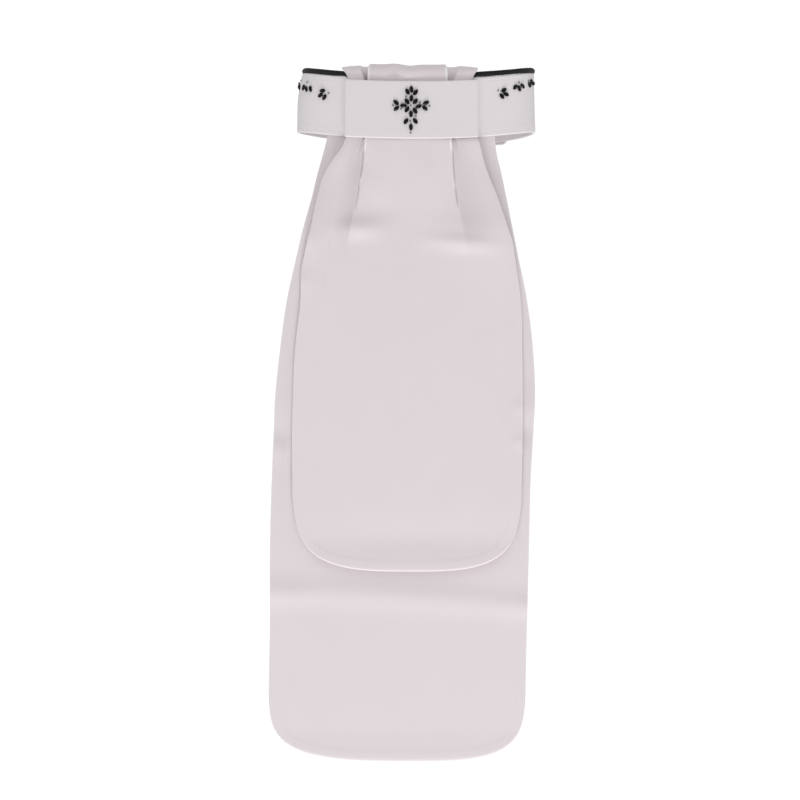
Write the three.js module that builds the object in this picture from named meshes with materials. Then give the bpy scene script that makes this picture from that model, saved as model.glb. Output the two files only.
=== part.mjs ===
// Ready-tied neck stock: a collar band that closes round the neck, with a tie folded over its front.
// Millimetres, +Z up. The origin is the centre of the neck hollow, at the band's middle height.
// -Y is the throat, where the tie hangs; +Y is the nape; +X is the right-hand side seen from the front.
import * as THREE from "three";

// Neck loop: the outer face of the collar band, a rounded oval seen from above
const loopHalfWidth = 72.5;
const loopHalfDepth = 42;
const loopSquareness = 2.4;
const middleAtSides = 2.4;
const frontDip = 5.7;
const backDip = 5;
const dipPower = 2.4;
const backTilt = 1.6;

// Collar band
const bandHeight = 36.2;
const bandWall = 2;
const topLean = 0.4;
const leftLean = 2.6;
const leftLeanGrowth = 1.5;
const leftLeanReach = 3;
const bandLevels = [0, 0.5, 0.78, 1];
const ringStep = 5;
const innerEndPastNape = 20;
const outerEndPastNape = 57;
const outerEndDrop = 1.8;
const endDropLength = 45;
const endCornerRadius = 4;
const overlapRamp = 26;

// Clearance between pieces that touch
const gap = 0.3;

// Piping along the band's top edge
const pipingRadius = 1.6;
const pipingSides = 8;

// Fastening patch between the two layers at the nape
const patchWall = 0.9;
const patchHeight = 24;
const patchEndMargin = 7;

// Tie, set about a line a little off the band's middle
const tieCentre = -3;
const tieWall = 1.3;
const tieClearance = 0.4;
const hemRound = 0.999;

// Front panel: a strip sewn over the tie, which runs through it
const panelHalfWidth = 39.4;
const panelWall = 1.4;
const panelCorner = 3;
const panelTopMargin = 1.9;
const panelBottomProud = 0.4;
const panelSteps = 12;

// Box pleat in the tie
const pleatRise = 2.2;
const pleatRiseInTunnel = 1.5;
const pleatSlant = 2.6;

// Fold of the tie over the piping
const foldLift = 3.3;
const foldHalfWidth = 41.2;
const foldFrontHalfWidth = 37.8;
const foldSteps = 6;
const innerLegLength = 12;

// Front tail, from the band's bottom edge down
const frontDrop = 260.5;
const frontHalfWidth = 69;
const frontForward = 1.6;
const frontBow = 4;
const frontRound = 98;
const frontRows = 27;

// Back tail, from the band's bottom edge down
const backDrop = 375;
const backHalfWidth = 80;
const backSetBack = 2;
const backBow = 4;
const backRound = 71;
const backRows = 32;
const settleLength = 60;
const edgeCurl = 1.6;

// Rounded lower ends of the tails: exponents of their outline across and down
const roundAcross = 3.2;
const roundDown = 6.5;

// Stones
const stoneLength = 4.2;
const stoneWidth = 2.5;
const stoneHeight = 1.1;
const stoneGirdle = 0.35;
const stoneTable = 0.5;
const stonePoint = 0.62;
const stoneCorners = 8;
const beadRadius = 0.6;
const beadHeight = 0.6;
const motifUp = 1.35;
const motifAside = -0.36;

// Width and pleat of the front tail, a row for each level: shares of its drop and of its half width
const frontLevels = [
  { down: 0.0, left: 0.56, right: 0.56, leftFold: 0.395, rightFold: 0.34, pleat: 1 },
  { down: 0.012, left: 0.579, right: 0.577, leftFold: 0.4, rightFold: 0.344, pleat: 1 },
  { down: 0.03, left: 0.61, right: 0.596, leftFold: 0.405, rightFold: 0.348, pleat: 1 },
  { down: 0.054, left: 0.673, right: 0.621, leftFold: 0.412, rightFold: 0.355, pleat: 1 },
  { down: 0.089, left: 0.76, right: 0.667, leftFold: 0.43, rightFold: 0.365, pleat: 1 },
  { down: 0.135, left: 0.821, right: 0.742, leftFold: 0.457, rightFold: 0.38, pleat: 1 },
  { down: 0.195, left: 0.869, right: 0.825, leftFold: 0.507, rightFold: 0.42, pleat: 0.9 },
  { down: 0.234, left: 0.908, right: 0.877, leftFold: 0.53, rightFold: 0.452, pleat: 0.45 },
  { down: 0.287, left: 0.951, right: 0.91, leftFold: 0.555, rightFold: 0.48, pleat: 0.15 },
  { down: 0.373, left: 0.968, right: 0.952, leftFold: 0.57, rightFold: 0.5, pleat: 0.05 },
  { down: 0.488, left: 1.016, right: 0.966, leftFold: 0.585, rightFold: 0.51, pleat: 0 },
  { down: 0.604, left: 1.035, right: 0.969, leftFold: 0.6, rightFold: 0.52, pleat: 0 },
  { down: 0.743, left: 1.041, right: 0.969, leftFold: 0.6, rightFold: 0.52, pleat: 0 },
  { down: 1.0, left: 1.043, right: 0.966, leftFold: 0.6, rightFold: 0.52, pleat: 0 },
];

// Columns across the front tail: each zone runs out from a fold line, the box from the left to the right.
// Rise is how far a column stands forwards, lift how high it goes over the piping.
const frontColumns = [
  { zone: "left", share: 1.0, rise: 0.1, lift: 0.0 },
  { zone: "left", share: 0.97, rise: 0.25, lift: 0.05 },
  { zone: "left", share: 0.88, rise: 0.45, lift: 0.2 },
  { zone: "left", share: 0.62, rise: 0.6, lift: 0.42 },
  { zone: "left", share: 0.36, rise: 0.55, lift: 0.55 },
  { zone: "left", share: 0.16, rise: 0.1, lift: 0.4 },
  { zone: "left", share: 0.0, rise: 0.0, lift: 0.4 },
  { zone: "box", share: 0.0, rise: 1.0, lift: 1.0 },
  { zone: "box", share: 0.14, rise: 1.04, lift: 1.02 },
  { zone: "box", share: 0.36, rise: 1.12, lift: 1.14 },
  { zone: "box", share: 0.5, rise: 1.14, lift: 1.0 },
  { zone: "box", share: 0.68, rise: 1.12, lift: 1.04 },
  { zone: "box", share: 0.86, rise: 1.04, lift: 1.08 },
  { zone: "box", share: 1.0, rise: 1.0, lift: 1.0 },
  { zone: "right", share: 0.0, rise: 0.0, lift: 0.4 },
  { zone: "right", share: 0.16, rise: 0.1, lift: 0.4 },
  { zone: "right", share: 0.4, rise: 0.55, lift: 0.6 },
  { zone: "right", share: 0.66, rise: 0.6, lift: 0.5 },
  { zone: "right", share: 0.88, rise: 0.45, lift: 0.25 },
  { zone: "right", share: 0.97, rise: 0.25, lift: 0.05 },
  { zone: "right", share: 1.0, rise: 0.1, lift: 0.0 },
];

// Soft swellings of the front tail: shares of its half width and drop, with the rise in pleat rises
const frontSwells = [
  { across: -0.56, down: 0.21, wide: 0.22, tall: 0.04, rise: 0.45 },
  { across: 0.44, down: 0.235, wide: 0.34, tall: 0.04, rise: 0.55 },
  { across: 0.52, down: 0.03, wide: 0.14, tall: 0.045, rise: 0.45 },
  { across: -0.05, down: 0.48, wide: 0.55, tall: 0.18, rise: 0.34 },
];

// Width of the back tail, a row for each level: shares of its drop and of its half width
const backLevels = [
  { down: 0.0, left: 0.669, right: 0.652 },
  { down: 0.03, left: 0.708, right: 0.669 },
  { down: 0.058, left: 0.743, right: 0.699 },
  { down: 0.098, left: 0.775, right: 0.73 },
  { down: 0.139, left: 0.814, right: 0.76 },
  { down: 0.179, left: 0.856, right: 0.796 },
  { down: 0.259, left: 0.939, right: 0.871 },
  { down: 0.339, left: 0.991, right: 0.917 },
  { down: 0.42, left: 1.029, right: 0.932 },
  { down: 0.468, left: 1.038, right: 0.921 },
  { down: 0.54, left: 1.052, right: 0.901 },
  { down: 0.66, left: 1.067, right: 0.886 },
  { down: 0.781, left: 1.067, right: 0.871 },
  { down: 0.861, left: 1.074, right: 0.862 },
  { down: 1.0, left: 1.078, right: 0.848 },
];

// Soft folds of the back tail: shares of its half width and drop, with the rise in pleat rises
const backSwells = [
  { across: 0.0, down: 0.737, wide: 2.4, tall: 0.035, rise: 0.6 },
  { across: -1.0, down: 0.47, wide: 0.12, tall: 0.035, rise: -0.45 },
  { across: 0.9, down: 0.44, wide: 0.14, tall: 0.035, rise: 0.45 },
];
const backColumns = 15;
const backTopShare = 0.46;

// Cross of stones on the front panel: places from its middle in stone lengths, lean from upright in degrees
const crossStones = [
  { across: 0.09, up: 2.32, lean: -8 },
  { across: -0.47, up: 1.98, lean: -28 },
  { across: 0.67, up: 1.87, lean: 37 },
  { across: 0.08, up: 1.04, lean: 5 },
  { across: -0.52, up: 0.58, lean: -38 },
  { across: 0.63, up: 0.58, lean: 40 },
  { across: -1.03, up: 0.0, lean: -88 },
  { across: 1.1, up: -0.13, lean: 66 },
  { across: -0.53, up: -0.55, lean: 35 },
  { across: 0.59, up: -0.75, lean: -32 },
  { across: 0.02, up: -1.21, lean: 0 },
  { across: -0.67, up: -2.25, lean: 34 },
  { across: 0.63, up: -2.22, lean: -36 },
  { across: 0.02, up: -3.09, lean: 0 },
  { across: -2.05, up: 0.42, lean: -50 },
  { across: -2.0, up: -0.41, lean: 48 },
  { across: 2.14, up: 0.38, lean: 63 },
  { across: 1.97, up: -0.37, lean: -48 },
];

// Small round stones among them, in stone lengths from its middle
const crossBeads = [
  { across: 0.0, up: 0.0 },
  { across: -0.1, up: -2.21 },
  { across: -0.02, up: -3.9 },
  { across: 1.29, up: 0.44 },
  { across: -1.35, up: -0.45 },
  { across: -0.67, up: 1.29 },
  { across: 0.7, up: -1.47 },
  { across: 2.6, up: -0.06 },
  { across: -2.5, up: 0.02 },
];

// Sprigs along the band: each stone's share of the way from the tie round to the nape's side and up to
// the band's top edge, and its outward lean from upright in degrees
const sprigStones = {
  left: [
    { sprig: 1, name: "upper", along: 0.595, up: 0.461, lean: 93 },
    { sprig: 1, name: "middle", along: 0.609, up: 0.305, lean: 118 },
    { sprig: 1, name: "lower", along: 0.577, up: 0.25, lean: 143 },
    { sprig: 2, name: "upper", along: 0.701, up: 0.485, lean: 14 },
    { sprig: 2, name: "middle", along: 0.747, up: 0.471, lean: 25 },
    { sprig: 2, name: "lower", along: 0.788, up: 0.513, lean: -34 },
    { sprig: 3, name: "upper", along: 0.885, up: 0.53, lean: 20 },
    { sprig: 3, name: "middle", along: 0.925, up: 0.64, lean: 60 },
    { sprig: 3, name: "lower", along: 0.96, up: 0.56, lean: 107 },
  ],
  right: [
    { sprig: 1, name: "upper", along: 0.607, up: 0.5, lean: 64 },
    { sprig: 1, name: "middle", along: 0.623, up: 0.354, lean: 109 },
    { sprig: 1, name: "lower", along: 0.592, up: 0.301, lean: 134 },
    { sprig: 2, name: "upper", along: 0.696, up: 0.567, lean: 48 },
    { sprig: 2, name: "middle", along: 0.73, up: 0.514, lean: -28 },
    { sprig: 2, name: "lower", along: 0.761, up: 0.582, lean: -53 },
    { sprig: 3, name: "upper", along: 0.842, up: 0.609, lean: -36 },
    { sprig: 3, name: "middle", along: 0.874, up: 0.7, lean: -34 },
    { sprig: 3, name: "lower", along: 0.912, up: 0.644, lean: 69 },
  ],
};
const sprigBeads = {
  left: [
    { sprig: 1, along: 0.548, up: 0.403 },
    { sprig: 2, along: 0.748, up: 0.711 },
    { sprig: 3, along: 0.88, up: 0.75 },
  ],
  right: [
    { sprig: 1, along: 0.567, up: 0.502 },
    { sprig: 2, along: 0.729, up: 0.713 },
    { sprig: 3, along: 0.83, up: 0.748 },
  ],
};

const { clamp, smoothstep, lerp, euclideanModulo, degToRad } = THREE.MathUtils;

// The outer face of the band seen from above, as a closed curve that starts at the throat
class NeckLoop extends THREE.Curve {
  getPoint(share, target = new THREE.Vector3()) {
    const turn = share * 2 * Math.PI;
    const sideways = signedPower(Math.sin(turn), 2 / loopSquareness);
    const forward = signedPower(Math.cos(turn), 2 / loopSquareness);
    return target.set(loopHalfWidth * sideways, -loopHalfDepth * forward, 0);
  }
}

function signedPower(value, exponent) {
  return Math.sign(value) * Math.abs(value) ** exponent;
}

const loop = new NeckLoop();
loop.arcLengthDivisions = 720;
const loopLength = loop.getLength();
const halfLoop = loopLength / 2;
const quarterLoop = loopLength / 4;
const bandTop = bandHeight / 2;
const bandBottom = -bandHeight / 2;

// Height of the band's middle line, which dips at the throat and, lower on the right, at the nape
function middleHeight(x, y) {
  const depthShare = Math.abs(y) / loopHalfDepth;
  const dip = y < 0 ? frontDip : backDip;
  const tilt = (backTilt * (x / loopHalfWidth) * Math.max(0, y)) / loopHalfDepth;
  return middleAtSides - dip * depthShare ** dipPower - tilt;
}

// Point at a length along the loop from the throat, a height on the band and a distance outwards
function onBand(along, up, out) {
  const share = euclideanModulo(along / loopLength, 1);
  const point = loop.getPointAt(share);
  const tangent = loop.getTangentAt(share);
  const outward = new THREE.Vector3(tangent.y, -tangent.x, 0);
  const height = middleHeight(point.x, point.y) + up;
  const upShare = up / bandTop;
  const leftShare = clamp(-point.x / loopHalfWidth, 0, 1);
  const sideLean = leftLean * Math.max(0, upShare) ** leftLeanGrowth * leftShare ** leftLeanReach;
  point.addScaledVector(outward, out - topLean * upShare - sideLean);
  return point.setZ(height);
}

// Closed body through rings of points, each ring going round in the same order
function loft(rings) {
  const count = rings[0].length;
  const positions = rings.flat().flatMap((point) => [point.x, point.y, point.z]);
  const triangles = [];
  for (let ring = 0; ring + 1 < rings.length; ring++) {
    for (let step = 0; step < count; step++) {
      const here = ring * count + step;
      const beside = ring * count + ((step + 1) % count);
      triangles.push(here, beside, beside + count, here, beside + count, here + count);
    }
  }
  const lastRing = (rings.length - 1) * count;
  for (let step = 0; step + 1 < count / 2; step++) {
    const across = count - 1 - step;
    triangles.push(step, across, step + 1, step + 1, across, across - 1);
    triangles.push(lastRing + step, lastRing + step + 1, lastRing + across);
    triangles.push(lastRing + step + 1, lastRing + across - 1, lastRing + across);
  }
  const geometry = new THREE.BufferGeometry();
  geometry.setAttribute("position", new THREE.Float32BufferAttribute(positions, 3));
  geometry.setIndex(triangles);
  if (signedVolume(geometry) < 0) {
    geometry.setIndex(triangles.slice().reverse());
  }
  geometry.computeVertexNormals();
  return geometry;
}

function signedVolume(geometry) {
  const place = geometry.getAttribute("position");
  const order = geometry.getIndex();
  const corners = [new THREE.Vector3(), new THREE.Vector3(), new THREE.Vector3()];
  let volume = 0;
  for (let index = 0; index < order.count; index += 3) {
    corners.forEach((corner, turn) => corner.fromBufferAttribute(place, order.getX(index + turn)));
    volume += corners[0].dot(corners[1].clone().cross(corners[2])) / 6;
  }
  return volume;
}

// Smooth curve through one column of a table of levels
function track(levels, column) {
  const shares = levels.map((level) => level.down);
  const values = levels.map((level) => level[column]);
  const curve = new THREE.CubicInterpolant(shares, values, 1);
  return (share) => curve.evaluate(share)[0];
}

// Collar band: a strip whose two ends overlap at the nape, the left-hand one outside
const outerEnd = -(halfLoop + outerEndPastNape);
const innerEnd = halfLoop + innerEndPastNape;
const overlapOut = Math.max(2 * pipingRadius + gap, bandWall + patchWall + 2 * gap);
const rampEnd = -(halfLoop - innerEndPastNape) + 2 * pipingRadius;

function layerOut(along) {
  return overlapOut * smoothstep(-along, -(rampEnd + overlapRamp), -rampEnd);
}

function layerDrop(along) {
  const share = clamp((outerEnd + endDropLength - along) / endDropLength, 0, 1);
  return -outerEndDrop * share ** 2;
}

function bandAlongs() {
  const steps = Math.ceil((innerEnd - outerEnd) / ringStep);
  const even = Array.from({ length: steps + 1 }, (_, step) => lerp(outerEnd, innerEnd, step / steps));
  const cornerTurns = [0.08, 0.3, 0.6].map((share) => share * endCornerRadius);
  const nearEnds = cornerTurns.flatMap((inset) => [outerEnd + inset, innerEnd - inset]);
  return [...even, ...nearEnds].sort((one, other) => one - other);
}

// The bottom corners at both ends are rounded
function cornerLift(along) {
  const inset = Math.min(along - outerEnd, innerEnd - along);
  const short = Math.max(0, endCornerRadius - inset);
  return endCornerRadius - Math.sqrt(endCornerRadius ** 2 - short ** 2);
}

function collarBand() {
  const rings = bandAlongs().map((along) => {
    const out = layerOut(along);
    const drop = layerDrop(along);
    const low = bandBottom + cornerLift(along) + drop;
    const high = bandTop + drop;
    const ups = bandLevels.map((share) => lerp(low, high, share));
    const outer = ups.map((up) => onBand(along, up, out));
    const inner = ups.map((up) => onBand(along, up, out - bandWall));
    return [...outer, ...inner.reverse()];
  });
  return loft(rings);
}

const pipingHeight = bandTop + gap + pipingRadius;

function piping() {
  const inset = pipingRadius;
  const alongs = bandAlongs().map((along) => clamp(along, outerEnd + inset, innerEnd - inset));
  const distinct = alongs.filter((along, index) => index === 0 || along - alongs[index - 1] > gap);
  const rings = distinct.map((along) =>
    Array.from({ length: pipingSides }, (_, side) => {
      const turn = ((side + 0.5) / pipingSides) * 2 * Math.PI;
      const out = layerOut(along) - bandWall / 2 + pipingRadius * Math.cos(turn);
      const up = pipingHeight + layerDrop(along) + pipingRadius * Math.sin(turn);
      return onBand(along, up, out);
    }),
  );
  return loft(rings);
}

function fasteningPatch() {
  const start = halfLoop + innerEndPastNape - patchEndMargin;
  const end = halfLoop - outerEndPastNape + 2 * patchEndMargin;
  const steps = Math.ceil((start - end) / ringStep);
  const rings = Array.from({ length: steps + 1 }, (_, step) => {
    const along = lerp(end, start, step / steps);
    const low = -patchHeight / 2;
    const high = patchHeight / 2;
    return [
      onBand(along, low, gap),
      onBand(along, low, gap + patchWall),
      onBand(along, high, gap + patchWall),
      onBand(along, high, gap),
    ];
  });
  return loft(rings);
}

// Depths outwards from the band's face through the tunnel: tie, then panel
const foldCore = -bandWall / 2;
const foldRadius = pipingRadius + tieClearance;
const tieOut = foldCore + foldRadius;
const crownShare = Math.max(...frontColumns.map((column) => column.rise));
const panelIn = tieOut + pleatRiseInTunnel * crownShare + tieWall + tieClearance;
const panelOut = panelIn + panelWall;
const panelTop = bandTop - panelTopMargin;
const panelBottom = bandBottom - panelBottomProud;

// The panel's section across, from one sewn edge to the other: matched inner and outer points
function panelProfile() {
  const innerRadius = panelCorner - panelWall;
  const cornerOut = panelOut - panelCorner;
  const cornerTurns = [0, 30, 60, 90].map(degToRad);
  const edge = (side) => {
    const centre = tieCentre + side * (panelHalfWidth - panelCorner);
    const reach = (radius, out) => ({ x: centre + side * radius, out });
    const foot = { inner: reach(innerRadius, gap), outer: reach(panelCorner, gap) };
    const bend = cornerTurns.map((turn) => ({
      inner: reach(innerRadius * Math.cos(turn), cornerOut + innerRadius * Math.sin(turn)),
      outer: reach(panelCorner * Math.cos(turn), cornerOut + panelCorner * Math.sin(turn)),
    }));
    return [foot, ...bend];
  };
  const flatHalf = panelHalfWidth - panelCorner;
  const flat = Array.from({ length: panelSteps - 1 }, (_, step) => {
    const x = tieCentre + lerp(-flatHalf, flatHalf, (step + 1) / panelSteps);
    return { inner: { x, out: panelIn }, outer: { x, out: panelOut } };
  });
  return [...edge(-1), ...flat, ...edge(1).reverse()];
}

function frontPanel() {
  const rings = panelProfile().map(({ inner, outer }) => [
    onBand(inner.x, panelBottom, inner.out),
    onBand(outer.x, panelBottom, outer.out),
    onBand(outer.x, panelTop, outer.out),
    onBand(inner.x, panelTop, inner.out),
  ]);
  return loft(rings);
}

// Where a tail hangs: it leaves the band's face and settles into a bowed sheet
function hang(x, drop, out, face) {
  const settled = smoothstep(drop, 0, settleLength);
  const atBand = onBand(x, bandBottom, face.out + out);
  const bow = face.bow * ((x - tieCentre) / face.halfWidth) ** 2;
  const hungY = -(loopHalfDepth + face.forward + out) + bow;
  const lowestEdge = middleHeight(0, -loopHalfDepth) + bandBottom;
  return new THREE.Vector3(
    lerp(atBand.x, x, settled),
    lerp(atBand.y, hungY, settled),
    lerp(atBand.z, lowestEdge, settled) - drop,
  );
}

// Rise of the soft swellings at a place on a tail
function swellRise(swells, across, down) {
  return swells.reduce((total, swell) => {
    const sideways = (across - swell.across) / swell.wide;
    const upright = (down - swell.down) / swell.tall;
    return total + pleatRise * swell.rise * Math.exp(-(sideways ** 2) - upright ** 2);
  }, 0);
}

// How far down a point of the tail is, where the outline rounds in towards its lower end
function roundedDrop(down, across, drop, round) {
  const straight = drop - round;
  const sunk = down * drop;
  if (sunk <= straight) {
    return sunk;
  }
  const reach = (1 - (hemRound * Math.abs(across)) ** roundAcross) ** (1 / roundDown);
  return straight + (sunk - straight) * reach;
}

// Sheet through rows of points: each row gives its two faces at every column
function sheet(rows) {
  return loft(rows.map((row) => [...row.map((pair) => pair[0]), ...row.map((pair) => pair[1]).reverse()]));
}

const frontFace = { out: tieOut, forward: frontForward, bow: frontBow, halfWidth: frontHalfWidth };
const frontTracks = Object.fromEntries(
  ["left", "right", "leftFold", "rightFold", "pleat"].map((name) => [name, track(frontLevels, name)]),
);

// Places of the front tail's columns, from its edges and fold lines
function columnPlaces(left, leftFold, rightFold, right) {
  const slant = pleatSlant / 2;
  return frontColumns.map(({ zone, share }) => {
    if (zone === "left") {
      return tieCentre - lerp(leftFold + slant, left, share);
    }
    if (zone === "right") {
      return tieCentre + lerp(rightFold + slant, right, share);
    }
    return tieCentre + lerp(slant - leftFold, rightFold - slant, share);
  });
}

function edgeSink(across, down) {
  return edgeCurl * smoothstep(Math.abs(across), 0.8, 1) * smoothstep(down, 0, 0.2);
}

function frontHangRow(down) {
  const level = (name) => frontTracks[name](down) * frontHalfWidth;
  const [left, leftFold, rightFold, right] = ["left", "leftFold", "rightFold", "right"].map(level);
  const pleat = clamp(frontTracks.pleat(down), 0, 1);
  const rise = lerp(pleatRiseInTunnel, pleatRise, smoothstep(down, 0, 0.06)) * pleat;
  return columnPlaces(left, leftFold, rightFold, right).map((x, index) => {
    const across = (x - tieCentre) / (x < tieCentre ? left : right);
    const drop = roundedDrop(down, across, frontDrop, frontRound);
    const swell = swellRise(frontSwells, (x - tieCentre) / frontHalfWidth, down);
    const out = rise * frontColumns[index].rise + swell - edgeSink(across, down);
    return [hang(x, drop, out, frontFace), hang(x, drop, out + tieWall, frontFace)];
  });
}

// Inside the tunnel and over the fold the tie is as wide as the panel lets it be
const tunnelHalf = panelHalfWidth - panelWall - 2 * tieClearance - panelCorner / 2;
const foldLevels = { leftFold: frontLevels[0].leftFold, rightFold: frontLevels[0].rightFold };

function bandRow(halfWidth, place) {
  const leftFold = foldLevels.leftFold * frontHalfWidth;
  const rightFold = foldLevels.rightFold * frontHalfWidth;
  const places = columnPlaces(halfWidth, leftFold, rightFold, halfWidth);
  return places.map((x, index) => [place(x, index, 0), place(x, index, tieWall)]);
}

function tunnelRow(up) {
  return bandRow(tunnelHalf, (x, index, wall) =>
    onBand(x, up, tieOut + pleatRiseInTunnel * frontColumns[index].rise + wall),
  );
}

// Over the piping: the box of the pleat stands higher than its sides, and the front narrows downwards
function foldRow(turn) {
  const crest = turn < Math.PI / 2 ? Math.sin(turn) : 1;
  const halfWidth = lerp(foldFrontHalfWidth, foldHalfWidth, crest);
  return bandRow(halfWidth, (x, index, wall) => {
    const { rise, lift } = frontColumns[index];
    const forward = foldRadius + foldLift * rise + wall;
    const upward = foldRadius + foldLift * lift + wall;
    return onBand(x, pipingHeight + upward * Math.sin(turn), foldCore + forward * Math.cos(turn));
  });
}

function innerLegRow(up, lift) {
  return bandRow(tunnelHalf, (x, index, wall) =>
    onBand(x, up, -(bandWall + tieClearance) - lift * frontColumns[index].rise - wall),
  );
}

function frontTail() {
  const rows = [];
  const innerTop = pipingHeight - foldRadius;
  rows.push(innerLegRow(pipingHeight - innerLegLength, 0));
  rows.push(innerLegRow(lerp(innerTop, pipingHeight - innerLegLength, 0.5), foldLift / 3));
  for (let step = 0; step <= foldSteps; step++) {
    const share = step / foldSteps;
    rows.push(foldRow(Math.PI * (1 - share)));
  }
  rows.push(tunnelRow(panelTop + gap));
  rows.push(tunnelRow(0));
  rows.push(tunnelRow(panelBottom + gap));
  for (let row = 0; row <= frontRows; row++) {
    const share = row / frontRows;
    rows.push(frontHangRow(lerp(frontLevels[1].down, 1, share)));
  }
  return sheet(rows);
}

const backFace = {
  out: -(bandWall + tieClearance + tieWall),
  forward: -(backSetBack + tieWall),
  bow: backBow,
  halfWidth: backHalfWidth,
};
const backTracks = { left: track(backLevels, "left"), right: track(backLevels, "right") };

function backColumn(index, left, right) {
  const turn = lerp(-1, 1, index / (backColumns - 1));
  const share = Math.sin((turn * Math.PI) / 2);
  return share < 0 ? share * left : share * right;
}

function backRow(left, right, place) {
  return Array.from({ length: backColumns }, (_, index) => {
    const x = tieCentre + backColumn(index, left, right);
    return [place(x, 0), place(x, tieWall)];
  });
}

function backHangRow(down) {
  const left = backTracks.left(down) * backHalfWidth;
  const right = backTracks.right(down) * backHalfWidth;
  return backRow(left, right, (x, wall) => {
    const across = (x - tieCentre) / (x < tieCentre ? left : right);
    const drop = roundedDrop(down, across, backDrop, backRound);
    const swell = swellRise(backSwells, (x - tieCentre) / backHalfWidth, down);
    const away = smoothstep(down, 0.02, 0.12);
    return hang(x, drop, (swell - edgeSink(across, down)) * away + wall, backFace);
  });
}

function backTail() {
  const top = pipingHeight - innerLegLength - gap;
  const rows = [0, 0.5, 1].map((share) => {
    const width = lerp(backTopShare, backLevels[0].left, share ** 2) * backHalfWidth;
    const up = lerp(top, bandBottom, share);
    return backRow(width, width, (x, wall) => onBand(x, up, backFace.out + wall));
  });
  for (let row = 1; row <= backRows; row++) {
    rows.push(backHangRow(row / backRows));
  }
  return sheet(rows);
}

const stoneTurns = Array.from({ length: stoneCorners }, (_, corner) => (corner / stoneCorners) * 2 * Math.PI);

// Cut stone, standing on its flat back: a pointed oval with a girdle, eight crown facets and a table
function navette() {
  const halfLength = stoneLength / 2;
  const halfWidth = stoneWidth / 2;
  const outline = stoneTurns.map((turn) => {
    const along = Math.cos(turn);
    const pointed = Math.sign(Math.sin(turn)) * (1 - along ** 2) ** stonePoint;
    return new THREE.Vector2(halfWidth * pointed, halfLength * along);
  });
  return cutStone(outline, stoneHeight, stoneGirdle, stoneTable);
}

function bead() {
  const outline = stoneTurns.map(
    (turn) => new THREE.Vector2(beadRadius * Math.sin(turn), beadRadius * Math.cos(turn)),
  );
  return cutStone(outline, beadHeight, beadHeight / 3, stoneTable);
}

function cutStone(outline, height, girdle, table) {
  const level = (share, z) => outline.map(({ x, y }) => new THREE.Vector3(x * share, y * share, z));
  return loft([level(1, 0), level(1, girdle), level(table, height)]);
}

// Sets a stone on the band or the panel, with its back to the cloth
function setStone(name, geometry, material, { along, up, out, lean }) {
  const seat = onBand(along, up, out);
  const tangent = loop.getTangentAt(euclideanModulo(along / loopLength, 1));
  const outward = new THREE.Vector3(tangent.y, -tangent.x, 0);
  const upward = new THREE.Vector3(0, 0, 1).applyAxisAngle(outward, -degToRad(lean));
  const sideways = new THREE.Vector3().crossVectors(upward, outward);
  const stone = new THREE.Mesh(geometry, material);
  stone.name = name;
  stone.quaternion.setFromRotationMatrix(new THREE.Matrix4().makeBasis(sideways, upward, outward));
  stone.position.copy(seat);
  return stone;
}

const cotton = new THREE.MeshStandardMaterial({ color: 0xded5d8, roughness: 0.85, metalness: 0 });
const cord = new THREE.MeshStandardMaterial({ color: 0x1a191b, roughness: 0.7, metalness: 0 });
const hookTape = new THREE.MeshStandardMaterial({ color: 0xcfc7ca, roughness: 0.95, metalness: 0 });
const jet = new THREE.MeshStandardMaterial({ color: 0x141316, roughness: 0.12, metalness: 0 });
const smoke = new THREE.MeshStandardMaterial({ color: 0x8f928c, roughness: 0.15, metalness: 0 });

function clothPiece(name, geometry, material) {
  const piece = new THREE.Mesh(geometry, material);
  piece.name = name;
  return piece;
}

const neckStock = new THREE.Group();
neckStock.add(clothPiece("collar_band", collarBand(), cotton));
neckStock.add(clothPiece("piping", piping(), cord));
neckStock.add(clothPiece("fastening_patch", fasteningPatch(), hookTape));
neckStock.add(clothPiece("front_panel", frontPanel(), cotton));
neckStock.add(clothPiece("front_tail", frontTail(), cotton));
neckStock.add(clothPiece("back_tail", backTail(), cotton));

const panelSeat = panelOut + gap;
const motifCentre = tieCentre + motifAside;
crossStones.forEach(({ across, up, lean }, index) => {
  const along = motifCentre + across * stoneLength;
  const place = { along, up: motifUp + up * stoneLength, out: panelSeat, lean };
  neckStock.add(setStone(`cross_stone_${index + 1}`, navette(), jet, place));
});
crossBeads.forEach(({ across, up }, index) => {
  const along = motifCentre + across * stoneLength;
  const place = { along, up: motifUp + up * stoneLength, out: panelSeat, lean: 0 };
  neckStock.add(setStone(`cross_bead_${index + 1}`, bead(), smoke, place));
});

for (const [sideName, side] of [["left", -1], ["right", 1]]) {
  const onSprig = ({ along, up, lean = 0 }) => ({
    along: tieCentre + side * along * quarterLoop,
    up: up * bandTop,
    out: gap,
    lean: side * lean,
  });
  for (const stone of sprigStones[sideName]) {
    const label = `sprig_${sideName}_${stone.sprig}_${stone.name}`;
    neckStock.add(setStone(label, navette(), jet, onSprig(stone)));
  }
  for (const stone of sprigBeads[sideName]) {
    const label = `sprig_${sideName}_${stone.sprig}_bead`;
    neckStock.add(setStone(label, bead(), smoke, onSprig(stone)));
  }
}

export default neckStock;
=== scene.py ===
"""Dresses the neck stock: woven cotton, covered cord and cut crystal over the fixed frame."""

import logging
import math
from dataclasses import astuple, dataclass, field
from enum import Enum

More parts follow.
